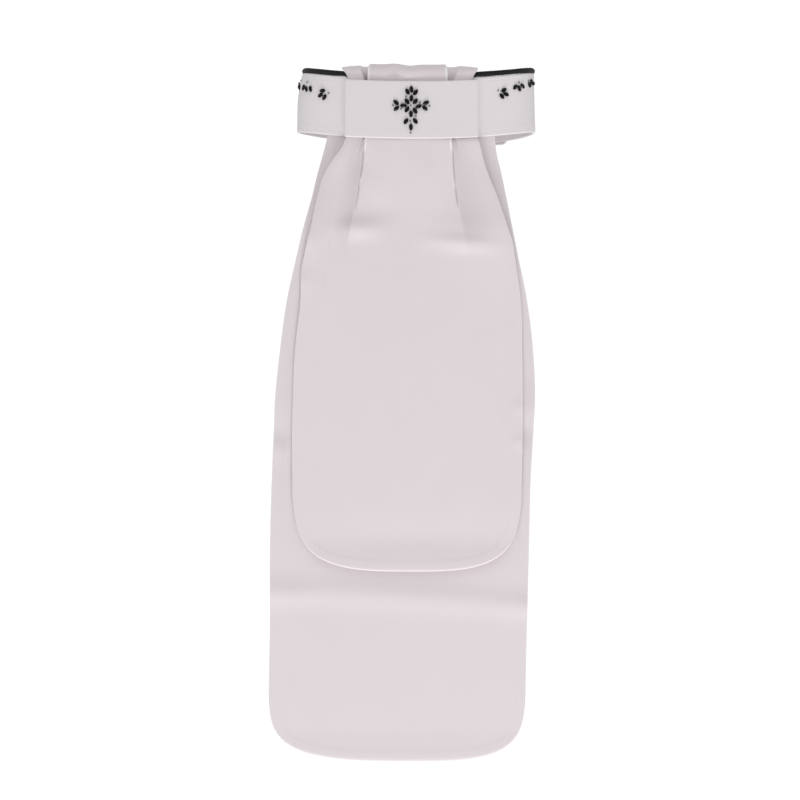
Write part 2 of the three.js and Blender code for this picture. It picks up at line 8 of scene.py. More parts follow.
import bpy
import numpy as np
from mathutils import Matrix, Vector


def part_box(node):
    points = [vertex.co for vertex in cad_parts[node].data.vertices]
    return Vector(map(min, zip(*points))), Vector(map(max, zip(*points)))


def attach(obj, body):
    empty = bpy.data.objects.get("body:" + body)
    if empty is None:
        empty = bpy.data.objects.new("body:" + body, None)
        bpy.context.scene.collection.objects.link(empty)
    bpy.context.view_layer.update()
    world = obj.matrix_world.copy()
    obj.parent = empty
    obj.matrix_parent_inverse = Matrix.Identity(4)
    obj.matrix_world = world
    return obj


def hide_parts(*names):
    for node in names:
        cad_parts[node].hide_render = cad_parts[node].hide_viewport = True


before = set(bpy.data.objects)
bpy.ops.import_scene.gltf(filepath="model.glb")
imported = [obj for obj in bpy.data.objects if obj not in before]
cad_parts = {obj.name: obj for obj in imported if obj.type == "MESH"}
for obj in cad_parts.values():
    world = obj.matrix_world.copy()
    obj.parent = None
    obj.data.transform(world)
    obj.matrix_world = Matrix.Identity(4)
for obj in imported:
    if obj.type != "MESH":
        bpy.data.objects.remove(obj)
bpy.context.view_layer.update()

MM = 0.001
Array = np.ndarray
log = logging.getLogger("neck_stock")


def smoothstep(value: Array | float, low: float, high: float) -> Array:
    """Eases from 0 at low to 1 at high.

    Args:
        value: where to look.
        low: where the rise starts.
        high: where it ends.

    Returns:
        The eased share, from 0 to 1.
    """
    share = np.clip((np.asarray(value, float) - low) / (high - low), 0.0, 1.0)
    return share * share * (3.0 - 2.0 * share)


def mix(start: Array | float, end: Array | float, share: Array | float) -> Array:
    """Goes straight from start to end.

    Args:
        start: value at share 0.
        end: value at share 1.
        share: how far along.

    Returns:
        The value in between.
    """
    return start + (end - start) * share


def crowded(count: int) -> Array:
    """Shares from 0 to 1 that crowd together at both ends.

    Args:
        count: how many shares.

    Returns:
        The shares in order.
    """
    return 0.5 - 0.5 * np.cos(np.pi * np.linspace(0.0, 1.0, count))


def linear_colour(hex_code: str) -> tuple[float, float, float, float]:
    """Turns an sRGB hex colour to the linear one that Blender's sockets hold.

    Args:
        hex_code: six digits after a hash sign.

    Returns:
        Linear red, green, blue and an alpha of 1.
    """
    parts = [int(hex_code[start : start + 2], 16) / 255 for start in (1, 3, 5)]
    red, green, blue = (
        part / 12.92 if part <= 0.04045 else ((part + 0.055) / 1.055) ** 2.4
        for part in parts
    )
    return (red, green, blue, 1.0)


def add_node(
    tree: bpy.types.NodeTree,
    kind: str,
    settings: dict | None = None,
    inputs: dict | None = None,
) -> bpy.types.Node:
    """Adds a node with its settings, and its sockets set or linked.

    Args:
        tree: the tree that gets the node.
        kind: the node's type name.
        settings: properties of the node by name.
        inputs: sockets by name or number; a socket as the value is linked, anything else is set.

    Returns:
        The new node.
    """
    node = tree.nodes.new(kind)
    for name, value in (settings or {}).items():
        setattr(node, name, value)
    for name, value in (inputs or {}).items():
        if isinstance(value, bpy.types.NodeSocket):
            tree.links.new(value, node.inputs[name])
        else:
            node.inputs[name].default_value = value
    return node


def wave_scale(pitch: float) -> float:
    """Scale of a wave texture whose waves are a pitch apart: at scale 1 they are 2 pi / 20."""
    return 2 * math.pi / (20 * pitch)


def new_material(name: str) -> tuple[bpy.types.Material, bpy.types.NodeTree]:
    """Starts a material with an empty node tree.

    Args:
        name: the material's name.

    Returns:
        The material and its tree.
    """
    material = bpy.data.materials.new(name)
    material.use_nodes = True
    material.node_tree.nodes.clear()
    return material, material.node_tree


def finish_material(tree: bpy.types.NodeTree, shader: bpy.types.Node) -> None:
    """Joins a shader to the material's output.

    Args:
        tree: the material's tree.
        shader: the node whose first output is the surface.
    """
    add_node(tree, "ShaderNodeOutputMaterial", inputs={"Surface": shader.outputs[0]})


class Grain(Enum):
    """Which way the cloth's ribs run on a piece: along its width or along its length."""

    ACROSS = (1.0, 0.0)
    LENGTHWISE = (0.0, 1.0)


@dataclass(frozen=True)
class WovenCotton:
    """Combed cotton, woven with a fine rib and pressed: matt, faint slubs; painted highlights and
    shade.
    """

    name: str = "combed_cotton_woven"
    colour: str = "#e8dfe1"
    thread_colour: str = "#e1d8db"
    # Painted highlight along edges and folds, and how far in from them it reaches
    painted_highlight_colour: str = "#f8f3f4"
    painted_highlight_width: float = 0.7 * MM
    # Painted shade for the pleat's slits, beside the darts and at the panel's mouth
    painted_shade_colour: str = "#7d7378"
    # The real rib is about 0.35 mm apart, too fine for the render, so it is drawn 0.9 mm apart.
    rib_pitch: float = 0.9 * MM
    thread_pitch: float = 0.7 * MM
    rib_depth: float = 0.03 * MM
    slub_length: float = 9.0 * MM
    slub_width: float = 0.5 * MM
    cloud_size: float = 22.0 * MM
    weft_share: float = 0.3
    slub_share: float = 0.6
    grain: Grain = Grain.ACROSS

    def material(self) -> bpy.types.Material:
        """Builds the cloth's material.

        Returns:
            The finished material.
        """
        material, tree = new_material(self.name)
        place = add_node(tree, "ShaderNodeUVMap", {"uv_map": "cloth"}).outputs["UV"]
        if self.grain is Grain.LENGTHWISE:
            turned = add_node(
                tree,
                "ShaderNodeMapping",
                inputs={"Vector": place, "Rotation": (0.0, 0.0, math.pi / 2)},
            )
            place = turned.outputs["Vector"]
        rib = self.threads(tree, place, "Y", self.rib_pitch)
        weft = self.threads(tree, place, "X", self.thread_pitch)
        slub = self.slubs(tree, place)
        weave = add_node(
            tree,
            "ShaderNodeMix",
            {"data_type": "FLOAT"},
            {"Factor": self.weft_share, "A": rib, "B": weft},
        ).outputs["Result"]
        raised = add_node(
            tree,
            "ShaderNodeMath",
            {"operation": "MULTIPLY_ADD"},
            {0: slub, 1: self.slub_share, 2: weave},
        ).outputs["Value"]
        bump = add_node(
            tree,
            "ShaderNodeBump",
            inputs={"Height": raised, "Distance": self.rib_depth, "Strength": 0.55},
        )
        tint = add_node(
            tree,
            "ShaderNodeMix",
            {"data_type": "RGBA"},
            {
                "Factor": self.mottle(tree, place, slub),
                "A": linear_colour(self.colour),
                "B": linear_colour(self.thread_colour),
            },
        )
        # Painted highlight: edges and folds made lighter in colour, standing in for the light that
        # they catch
        edged = add_node(
            tree,
            "ShaderNodeMix",
            {"data_type": "RGBA"},
            {
                "Factor": self.pressed(tree),
                "A": tint.outputs["Result"],
                "B": linear_colour(self.painted_highlight_colour),
            },
        )
        # Painted shade: the cloth is darkened in the pleat's slits, beside the darts and at the
        # panel's mouth
        slit = add_node(tree, "ShaderNodeAttribute", {"attribute_name": "slit"})
        shaded = add_node(
            tree,
            "ShaderNodeMix",
            {"data_type": "RGBA"},
            {
                "Factor": slit.outputs["Fac"],
                "A": edged.outputs["Result"],
                "B": linear_colour(self.painted_shade_colour),
            },
        )
        shader = add_node(
            tree,
            "ShaderNodeBsdfPrincipled",
            inputs={
                "Base Color": shaded.outputs["Result"],
                "Roughness": 0.72,
                "IOR": 1.47,
                "Specular IOR Level": 0.3,
                "Sheen Weight": 0.06,
                "Sheen Roughness": 0.45,
                "Normal": bump.outputs["Normal"],
            },
        )
        finish_material(tree, shader)
        return material

    def pressed(self, tree: bpy.types.NodeTree) -> bpy.types.NodeSocket:
        """Finds the edges and folds that get a painted highlight, a lighter colour for the light
        they catch.

        Args:
            tree: the material's tree.

        Returns:
            How much of the painted highlight shows.
        """
        distance = add_node(tree, "ShaderNodeAttribute", {"attribute_name": "rim"}).outputs["Fac"]
        near = add_node(
            tree,
            "ShaderNodeMapRange",
            {"interpolation_type": "SMOOTHSTEP"},
            {"Value": distance, "From Max": self.painted_highlight_width, "To Min": 1.0, "To Max": 0.0},
        )
        return near.outputs["Result"]

    def threads(
        self, tree: bpy.types.NodeTree, place: bpy.types.NodeSocket, way: str, pitch: float
    ) -> bpy.types.NodeSocket:
        """Draws one set of threads as waves.

        Args:
            tree: the material's tree.
            place: the cloth's own coordinates, in metres.
            way: the axis that the waves cross, X or Y.
            pitch: distance from thread to thread.

        Returns:
            The waves' height, from 0 to 1.
        """
        wave = add_node(
            tree,
            "ShaderNodeTexWave",
            {"bands_direction": way, "wave_profile": "SIN"},
            {
                "Vector": place,
                "Scale": wave_scale(pitch),
                "Distortion": 0.35,
                "Detail": 1.0,
                "Detail Scale": 0.15,
            },
        )
        return wave.outputs["Fac"]

    def slubs(self, tree: bpy.types.NodeTree, place: bpy.types.NodeSocket) -> bpy.types.NodeSocket:
        """Draws the long thin thick places of the yarn.

        Args:
            tree: the material's tree.
            place: the cloth's own coordinates, in metres.

        Returns:
            The slubs' strength, from 0 to 1.
        """
        stretched = add_node(
            tree,
            "ShaderNodeMapping",
            inputs={
                "Vector": place,
                "Scale": (1 / self.slub_length, 1 / self.slub_width, 1.0),
            },
        )
        noise = add_node(
            tree,
            "ShaderNodeTexNoise",
            inputs={"Vector": stretched.outputs["Vector"], "Scale": 1.0, "Detail": 2.0},
        )
        return noise.outputs["Fac"]

    def mottle(
        self,
        tree: bpy.types.NodeTree,
        place: bpy.types.NodeSocket,
        slub: bpy.types.NodeSocket,
    ) -> bpy.types.NodeSocket:
        """Blends faint cloudiness with the slubs, for the shade of the cloth.

        Args:
            tree: the material's tree.
            place: the cloth's own coordinates, in metres.
            slub: the slubs' strength.

        Returns:
            How much of the second shade shows.
        """
        cloud = add_node(
            tree,
            "ShaderNodeTexNoise",
            inputs={"Vector": place, "Scale": 1 / self.cloud_size, "Detail": 3.0},
        )
        both = add_node(
            tree,
            "ShaderNodeMix",
            {"data_type": "FLOAT"},
            {"Factor": 0.5, "A": cloud.outputs["Fac"], "B": slub},
        )
        return both.outputs["Result"]


@dataclass(frozen=True)
class CoveredCord:
    """Cord covered in satin ribbon cut on the cross: near black, with a soft streak along it."""

    name: str = "black_satin_covered_cord"
    colour: str = "#09080a"
    worn_colour: str = "#131214"
    twill_pitch: float = 0.8 * MM
    twill_depth: float = 0.03 * MM

    def material(self) -> bpy.types.Material:
        """Builds the cord's material.

        Returns:
            The finished material.
        """
        material, tree = new_material(self.name)
        place = add_node(tree, "ShaderNodeUVMap", {"uv_map": "cloth"}).outputs["UV"]
        slanted = add_node(
            tree,
            "ShaderNodeMapping",
            inputs={"Vector": place, "Rotation": (0.0, 0.0, math.radians(45))},
        ).outputs["Vector"]
        twill = add_node(
            tree,
            "ShaderNodeTexWave",
            {"bands_direction": "X"},
            {
                "Vector": slanted,
                "Scale": wave_scale(self.twill_pitch),
                "Distortion": 0.5,
                "Detail Scale": 0.2,
            },
        ).outputs["Fac"]
        bump = add_node(
            tree,
            "ShaderNodeBump",
            inputs={"Height": twill, "Distance": self.twill_depth, "Strength": 0.6},
        )
        tint = add_node(
            tree,
            "ShaderNodeMix",
            {"data_type": "RGBA"},
            {
                "Factor": twill,
                "A": linear_colour(self.colour),
                "B": linear_colour(self.worn_colour),
            },
        )
        shader = add_node(
            tree,
            "ShaderNodeBsdfPrincipled",
            inputs={
                "Base Color": tint.outputs["Result"],
                "Roughness": 0.5,
                "IOR": 1.4,
                "Specular IOR Level": 0.35,
                "Normal": bump.outputs["Normal"],
            },
        )
        finish_material(tree, shader)
        return material


@dataclass(frozen=True)
class CutCrystal:
    """Lead crystal, cut and polished: flat facets that go from near black to a hard white glint."""

    name: str
    colour: str
    deep_colour: str
    roughness: float = 0.04
    ior: float = 1.5
    depth_size: float = 1.5 * MM

    def material(self) -> bpy.types.Material:
        """Builds the crystal's material.

        Returns:
            The finished material.
        """
        material, tree = new_material(self.name)
        place = add_node(tree, "ShaderNodeTexCoord").outputs["Object"]
        depth = add_node(
            tree,
            "ShaderNodeTexNoise",
            inputs={"Vector": place, "Scale": 1 / self.depth_size, "Detail": 2.0},
        )
        tint = add_node(
            tree,
            "ShaderNodeMix",
            {"data_type": "RGBA"},
            {
                "Factor": depth.outputs["Fac"],
                "A": linear_colour(self.colour),
                "B": linear_colour(self.deep_colour),
            },
        )
        shader = add_node(
            tree,
            "ShaderNodeBsdfPrincipled",
            inputs={
                "Base Color": tint.outputs["Result"],
                "Roughness": self.roughness,
                "IOR": self.ior,
            },
        )
        finish_material(tree, shader)
        return material


@dataclass(frozen=True)
class SewingThread:
    """Spun cotton thread: matt, a shade lighter than the cloth, with a fine twist."""

    name: str = "cotton_thread_spun"
    colour: str = "#f6f1f2"
    twist_pitch: float = 0.25 * MM
    twist_depth: float = 0.02 * MM

    def material(self) -> bpy.types.Material:
        """Builds the thread's material.

        Returns:
            The finished material.
        """
        material, tree = new_material(self.name)
        place = add_node(tree, "ShaderNodeTexCoord").outputs["Object"]
        twist = add_node(
            tree,
            "ShaderNodeTexWave",
            {"bands_direction": "DIAGONAL"},
            {"Vector": place, "Scale": wave_scale(self.twist_pitch)},
        )
        bump = add_node(
            tree,
            "ShaderNodeBump",
            inputs={"Height": twist.outputs["Fac"], "Distance": self.twist_depth},
        )
        shader = add_node(
            tree,
            "ShaderNodeBsdfPrincipled",
            inputs={
                "Base Color": linear_colour(self.colour),
                "Roughness": 0.7,
                "IOR": 1.5,
                "Normal": bump.outputs["Normal"],
            },
        )
        finish_material(tree, shader)
        return material


@dataclass(frozen=True)
class LoopTape:
    """Nylon loop tape, brushed: a matt pile of tiny loops in the cloth's own shade."""

    name: str = "nylon_loop_tape"
    colour: str = "#d6cfd1"
    loop_size: float = 0.5 * MM
    pile_depth: float = 0.2 * MM

    def material(self) -> bpy.types.Material:
        """Builds the tape's material.

        Returns:
            The finished material.
        """
        material, tree = new_material(self.name)
        place = add_node(tree, "ShaderNodeTexCoord").outputs["Object"]
        loops = add_node(
            tree,
            "ShaderNodeTexVoronoi",
            inputs={"Vector": place, "Scale": 1 / self.loop_size},
        )
        bump = add_node(
            tree,
            "ShaderNodeBump",
            inputs={"Height": loops.outputs["Distance"], "Distance": self.pile_depth},
        )
        shader = add_node(
            tree,
            "ShaderNodeBsdfPrincipled",
            inputs={
                "Base Color": linear_colour(self.colour),
                "Roughness": 0.95,
                "IOR": 1.53,
                "Sheen Weight": 0.3,
                "Normal": bump.outputs["Normal"],
            },
        )
        finish_material(tree, shader)
        return material


@dataclass
class NeckLoop:
    """The outer face of the collar band, as a rounded oval round the neck."""

    half_width: float = 72.5 * MM
    half_depth: float = 42.0 * MM
    squareness: float = 2.4
    middle_at_sides: float = 2.4 * MM
    front_dip: float = 5.7 * MM
    back_dip: float = 5.0 * MM
    dip_power: float = 2.4
    back_tilt: float = 1.6 * MM
    band_height: float = 36.2 * MM
    top_lean: float = 0.4 * MM
    left_lean: float = 2.6 * MM
    left_lean_growth: float = 1.5
    left_lean_reach: float = 3.0
    samples: int = 4000

    def __post_init__(self) -> None:
        """Measures lengths along the loop, starting at the throat."""
        turn = np.linspace(0.0, 2 * np.pi, self.samples + 1)
        power = 2 / self.squareness
        self.x = self.half_width * np.sign(np.sin(turn)) * np.abs(np.sin(turn)) ** power
        self.y = -self.half_depth * np.sign(np.cos(turn)) * np.abs(np.cos(turn)) ** power
        steps = np.hypot(np.diff(self.x), np.diff(self.y))
        self.lengths = np.concatenate([[0.0], np.cumsum(steps)])
        self.length = float(self.lengths[-1])

    @property
    def top(self) -> float:
        """Height of the band's top edge over its middle line."""
        return self.band_height / 2

    @property
    def bottom(self) -> float:
        """Height of the band's bottom edge over its middle line."""
        return -self.band_height / 2

    def plan(self, along: Array) -> tuple[Array, Array]:
        """Looks up the loop seen from above.

        Args:
            along: lengths from the throat, to the right where positive.

        Returns:
            The x and y of each place.
        """
        wrapped = np.mod(along, self.length)
        return np.interp(wrapped, self.lengths, self.x), np.interp(wrapped, self.lengths, self.y)

    def outward(self, along: Array) -> Array:
        """Finds the way out of the band, in the horizontal plane.

        Args:
            along: lengths from the throat.

        Returns:
            Unit vectors.
        """
        reach = 0.8 * MM
        ahead = np.stack(self.plan(along + reach))
        behind = np.stack(self.plan(along - reach))
        run = ahead - behind
        run /= np.linalg.norm(run, axis=0)
        return np.stack([run[1], -run[0], np.zeros_like(run[0])], axis=-1)

    def middle(self, x: Array, y: Array) -> Array:
        """Height of the band's middle line, which dips at the throat and nape.

        Args:
            x: place across on the loop.
            y: depth of the place on the loop.

        Returns:
            Its height over the origin.
        """
        dip = np.where(y < 0, self.front_dip, self.back_dip)
        tilt = self.back_tilt * (x / self.half_width) * np.maximum(0, y) / self.half_depth
        return self.middle_at_sides - dip * (np.abs(y) / self.half_depth) ** self.dip_power - tilt

    def place(self, along: Array, up: Array | float, out: Array | float) -> Array:
        """Places points on the band.

        Args:
            along: lengths from the throat.
            up: heights over the middle line.
            out: distances outwards from the band's outer face.

        Returns:
            Points in the row frame.
        """
        along, up, out = np.broadcast_arrays(
            np.asarray(along, float), np.asarray(up, float), np.asarray(out, float)
        )
        x, y = self.plan(along)
        way = self.outward(along)
        share = up / self.top
        side = np.clip(-x / self.half_width, 0, 1) ** self.left_lean_reach
        growth = np.maximum(0, share) ** self.left_lean_growth
        lean = self.top_lean * share + self.left_lean * growth * side
        point = np.stack([x, y, self.middle(x, y) + up], axis=-1)
        return point + way * (out - lean)[..., None]


def mesh_piece(
    name: str,
    points: Array,
    faces: Array,
    smooth: bool,
    flat: Array | None = None,
) -> bpy.types.Object:
    """Makes a mesh object whose faces point outwards.

    Args:
        name: the piece's name.
        points: its vertices.
        faces: its faces, as vertex numbers.
        smooth: whether it is shaded smooth.
        flat: each vertex's place on the flat cloth, in metres, or None.

    Returns:
        The object, linked to the scene.
    """
    corners = points[faces[:, :3]]
    volume = np.einsum("ij,ij->i", corners[:, 0], np.cross(corners[:, 1], corners[:, 2])).sum()
    if faces.shape[1] == 4:
        halves = points[faces[:, [0, 2, 3]]]
        volume += np.einsum("ij,ij->i", halves[:, 0], np.cross(halves[:, 1], halves[:, 2])).sum()
    if volume < 0:
        faces = faces[:, ::-1]
    mesh = bpy.data.meshes.new(name)
    mesh.from_pydata(points.tolist(), [], faces.tolist())
    mesh.polygons.foreach_set("use_smooth", np.full(len(faces), smooth))
    if flat is not None:
        layer = mesh.uv_layers.new(name="cloth")
        layer.data.foreach_set("uv", flat[faces.reshape(-1)].astype(np.float32).reshape(-1))
    mesh.update()
    piece = bpy.data.objects.new(name, mesh)
    bpy.context.scene.collection.objects.link(piece)
    return piece


def grid_faces(rows: int, columns: int, start: int = 0) -> Array:
    """Quads of a grid of vertices.

    Args:
        rows: vertices down.
        columns: vertices across.
        start: number of the first vertex.

    Returns:
        The quads, as vertex numbers.
    """
    first = start + np.arange((rows - 1) * columns).reshape(rows - 1, columns)[:, :-1].ravel()
    return np.stack([first, first + 1, first + 1 + columns, first + columns], axis=1)


def keep_values(piece: bpy.types.Object, name: str, values: Array) -> None:
    """Keeps a value for each point of a sheet's two faces, for its finish to read.

    Args:
        piece: the closed sheet.
        name: the attribute's name.
        values: the values, rows by columns.
    """
    layer = piece.data.attributes.new(name, "FLOAT", "POINT")
    layer.data.foreach_set("value", np.tile(values.reshape(-1), 2).astype(np.float32))


def closed_sheet(
    name: str, middle: Array, thickness: Array, flat: Array, rim_reach: Array
) -> bpy.types.Object:
    """Gives a surface two faces and a closed rim.

    Args:
        name: the piece's name.
        middle: the surface's points, rows by columns.
        thickness: the wall at each point.
        flat: each point's place on the flat cloth, in metres.
        rim_reach: each point's distance from the nearest pressed edge, kept for the painted
            highlight.

    Returns:
        The closed piece.
    """
    rows, columns = middle.shape[:2]
    normal = np.cross(np.gradient(middle, axis=0), np.gradient(middle, axis=1))
    normal /= np.linalg.norm(normal, axis=-1, keepdims=True)
    reach = normal * (thickness / 2)[..., None]
    points = np.concatenate([(middle + reach).reshape(-1, 3), (middle - reach).reshape(-1, 3)])
    count = rows * columns
    order = np.arange(count).reshape(rows, columns)
    rim = np.concatenate([order[0], order[1:, -1], order[-1, -2::-1], order[-2:0:-1, 0]])
    beside = np.roll(rim, -1)
    faces = np.concatenate(
        [
            grid_faces(rows, columns),
            grid_faces(rows, columns, count)[:, ::-1],
            np.stack([rim, rim + count, beside + count, beside], axis=1),
        ]
    )
    both = np.concatenate([flat.reshape(-1, 2)] * 2)
    piece = mesh_piece(name, points, faces, True, both)
    keep_values(piece, "rim", rim_reach)
    return piece


def closed_tube(name: str, rings: Array, flat: Array) -> bpy.types.Object:
    """Skins a tube of rings and closes its two ends with one point each.

    Args:
        name: the piece's name.
        rings: the tube's points, ring by ring.
        flat: the points' places on the flat cloth, ring by ring.

    Returns:
        The closed piece.
    """
    rows, count = rings.shape[:2]
    first = np.arange((rows - 1) * count)
    step = np.where(first % count == count - 1, 1 - count, 1)
    sides = np.stack([first, first + step, first + step + count, first + count], axis=1)
    ring = np.arange(count)
    after = np.roll(ring, -1)
    start, last = rows * count, (rows - 1) * count
    fans = [[start, b, a] for a, b in zip(ring, after)]
    fans += [[start + 1, last + a, last + b] for a, b in zip(ring, after)]
    faces = np.concatenate([sides[:, [0, 1, 2]], sides[:, [0, 2, 3]], np.array(fans)])
    points = np.concatenate([rings.reshape(-1, 3), [rings[0].mean(0), rings[-1].mean(0)]])
    places = flat.reshape(-1, 2)
    return mesh_piece(name, points, faces, True, np.concatenate([places, places[[0, -1]]]))


def rim_distance(flat: Array, free_top: bool) -> Array:
    """Distance of each point of a flat cloth from its hemmed edges.

    Args:
        flat: the cloth's flat places, rows by columns.
        free_top: whether the first row is an edge too.

    Returns:
        The distances, rows by columns.
    """
    edges = [flat[:, 0], flat[-1], flat[:, -1]] + ([flat[0]] if free_top else [])
    outline = np.concatenate(edges)
    return np.stack(
        [
            np.sqrt(((row[:, None, :] - outline[None]) ** 2).sum(-1).min(axis=1))
            for row in flat
        ]
    )


@dataclass(frozen=True)
class Hem:
    """A turned and pressed edge: a rounded rim and the seam allowance shut inside."""

    wall: float = 1.2 * MM
    allowance: float = 7.0 * MM
    extra: float = 0.35 * MM
    thinnest: float = 0.03 * MM
    roundness: float = 0.6
    fade: float = 1.5 * MM

    def thickness(self, distance: Array) -> Array:
        """Wall at a distance from the edge.

        Args:
            distance: distances from the edge.

        Returns:
            The wall at each.
        """
        radius = self.wall * self.roundness
        round_share = np.sqrt(1 - (1 - np.clip(distance / radius, 0, 1)) ** 2)
        inner = self.allowance - self.fade
        padded = self.extra * (1 - smoothstep(distance, inner, self.allowance))
        return np.maximum(self.thinnest, (self.wall + padded) * round_share)


@dataclass(frozen=True)
class Swell:
    """A soft rise or hollow of a tail, placed by shares of its half width and of its drop."""

    across: float
    down: float
    wide: float
    tall: float
    rise: float
    slope: float = 0.0

    def height(self, across: Array, down: Array) -> Array:
        """Rise of the cloth that this swelling gives.

        Args:
            across: places across, in shares of the half width.
            down: places down, in shares of the drop.

        Returns:
            The rise at each place.
        """
        sideways = (across - self.across) / self.wide
        level = (down - self.down - self.slope * (across - self.across)) / self.tall
        return self.rise * np.exp(-(sideways**2) - level**2)


@dataclass(frozen=True)
class TailLevel:
    """One level of a tail: share of its drop, then edges and folds in shares of its half width."""

    down: float
    left: float
    right: float
    left_fold: float = 0.0
    right_fold: float = 0.0
    left_flap: float = 0.0
    right_flap: float = 0.0
    pleat: float = 0.0


def track(levels: list[TailLevel], name: str, down: Array) -> Array:
    """Reads one column of a table of levels on a smooth curve.

    Args:
        levels: the table's rows.
        name: the column.
        down: where to read it.

    Returns:
        The values there.
    """
    x = np.array([level.down for level in levels])
    y = np.array([getattr(level, name) for level in levels])
    slope = np.gradient(y, x)
    down = np.clip(down, x[0], x[-1])
    index = np.clip(np.searchsorted(x, down, side="right") - 1, 0, len(x) - 2)
    step = x[index + 1] - x[index]
    share = (down - x[index]) / step
    square, cube = share**2, share**3
    return (
        (2 * cube - 3 * square + 1) * y[index]
        + (cube - 2 * square + share) * step * slope[index]
        + (3 * square - 2 * cube) * y[index + 1]
        + (cube - square) * step * slope[index + 1]
    )


def between(start: TailLevel, end: TailLevel, share: float) -> TailLevel:
    """Finds the level a share of the way from one level to another.

    Args:
        start: the level at share 0.
        end: the level at share 1.
        share: how far along.

    Returns:
        The level in between.
    """
    pairs = zip(astuple(start), astuple(end))
    return TailLevel(*(float(mix(low, high, share)) for low, high in pairs))


@dataclass
class Tie:
    """Sizes that the tie's pieces share: where it sits on the band and how it passes over it."""

    loop: NeckLoop
    centre: float = -3.0 * MM
    wall: float = 1.2 * MM
    clearance: float = 0.4 * MM
    band_wall: float = 2.0 * MM
    piping_radius: float = 1.6 * MM
    gap: float = 0.3 * MM
    panel_half_width: float = 39.4 * MM
    panel_wall: float = 1.4 * MM
    panel_corner: float = 1.9 * MM
    panel_top_margin: float = 1.9 * MM
    panel_bottom_proud: float = 0.4 * MM
    tunnel_rise: float = 1.5 * MM
    crown: float = 1.14
    pleat_layers: float = 1.3 * MM

    @property
    def piping_height(self) -> float:
        """Height of the piping's middle over the band's middle line."""
        return self.loop.top + self.gap + self.piping_radius

    @property
    def fold_radius(self) -> float:
        """Radius of the tie's band side where it goes over the piping."""
        return self.piping_radius + self.clearance

    @property
    def out(self) -> float:
        """Distance from the band's outer face to the tie's band side."""
        return self.fold_radius - self.band_wall / 2

    @property
    def panel_in(self) -> float:
        """Distance from the band's outer face to the panel's band side."""
        return self.out + self.tunnel_rise * self.crown + self.pleat_layers + self.clearance

    @property
    def panel_out(self) -> float:
        """Distance from the band's outer face to the panel's outer side."""
        return self.panel_in + self.panel_wall

    @property
    def panel_top(self) -> float:
        """Height of the panel's top edge over the band's middle line."""
        return self.loop.top - self.panel_top_margin

    @property
    def panel_bottom(self) -> float:
        """Height of the panel's bottom edge over the band's middle line."""
        return self.loop.bottom - self.panel_bottom_proud


# Stands for a point far from every pressed crease
NO_CREASE = 1.0


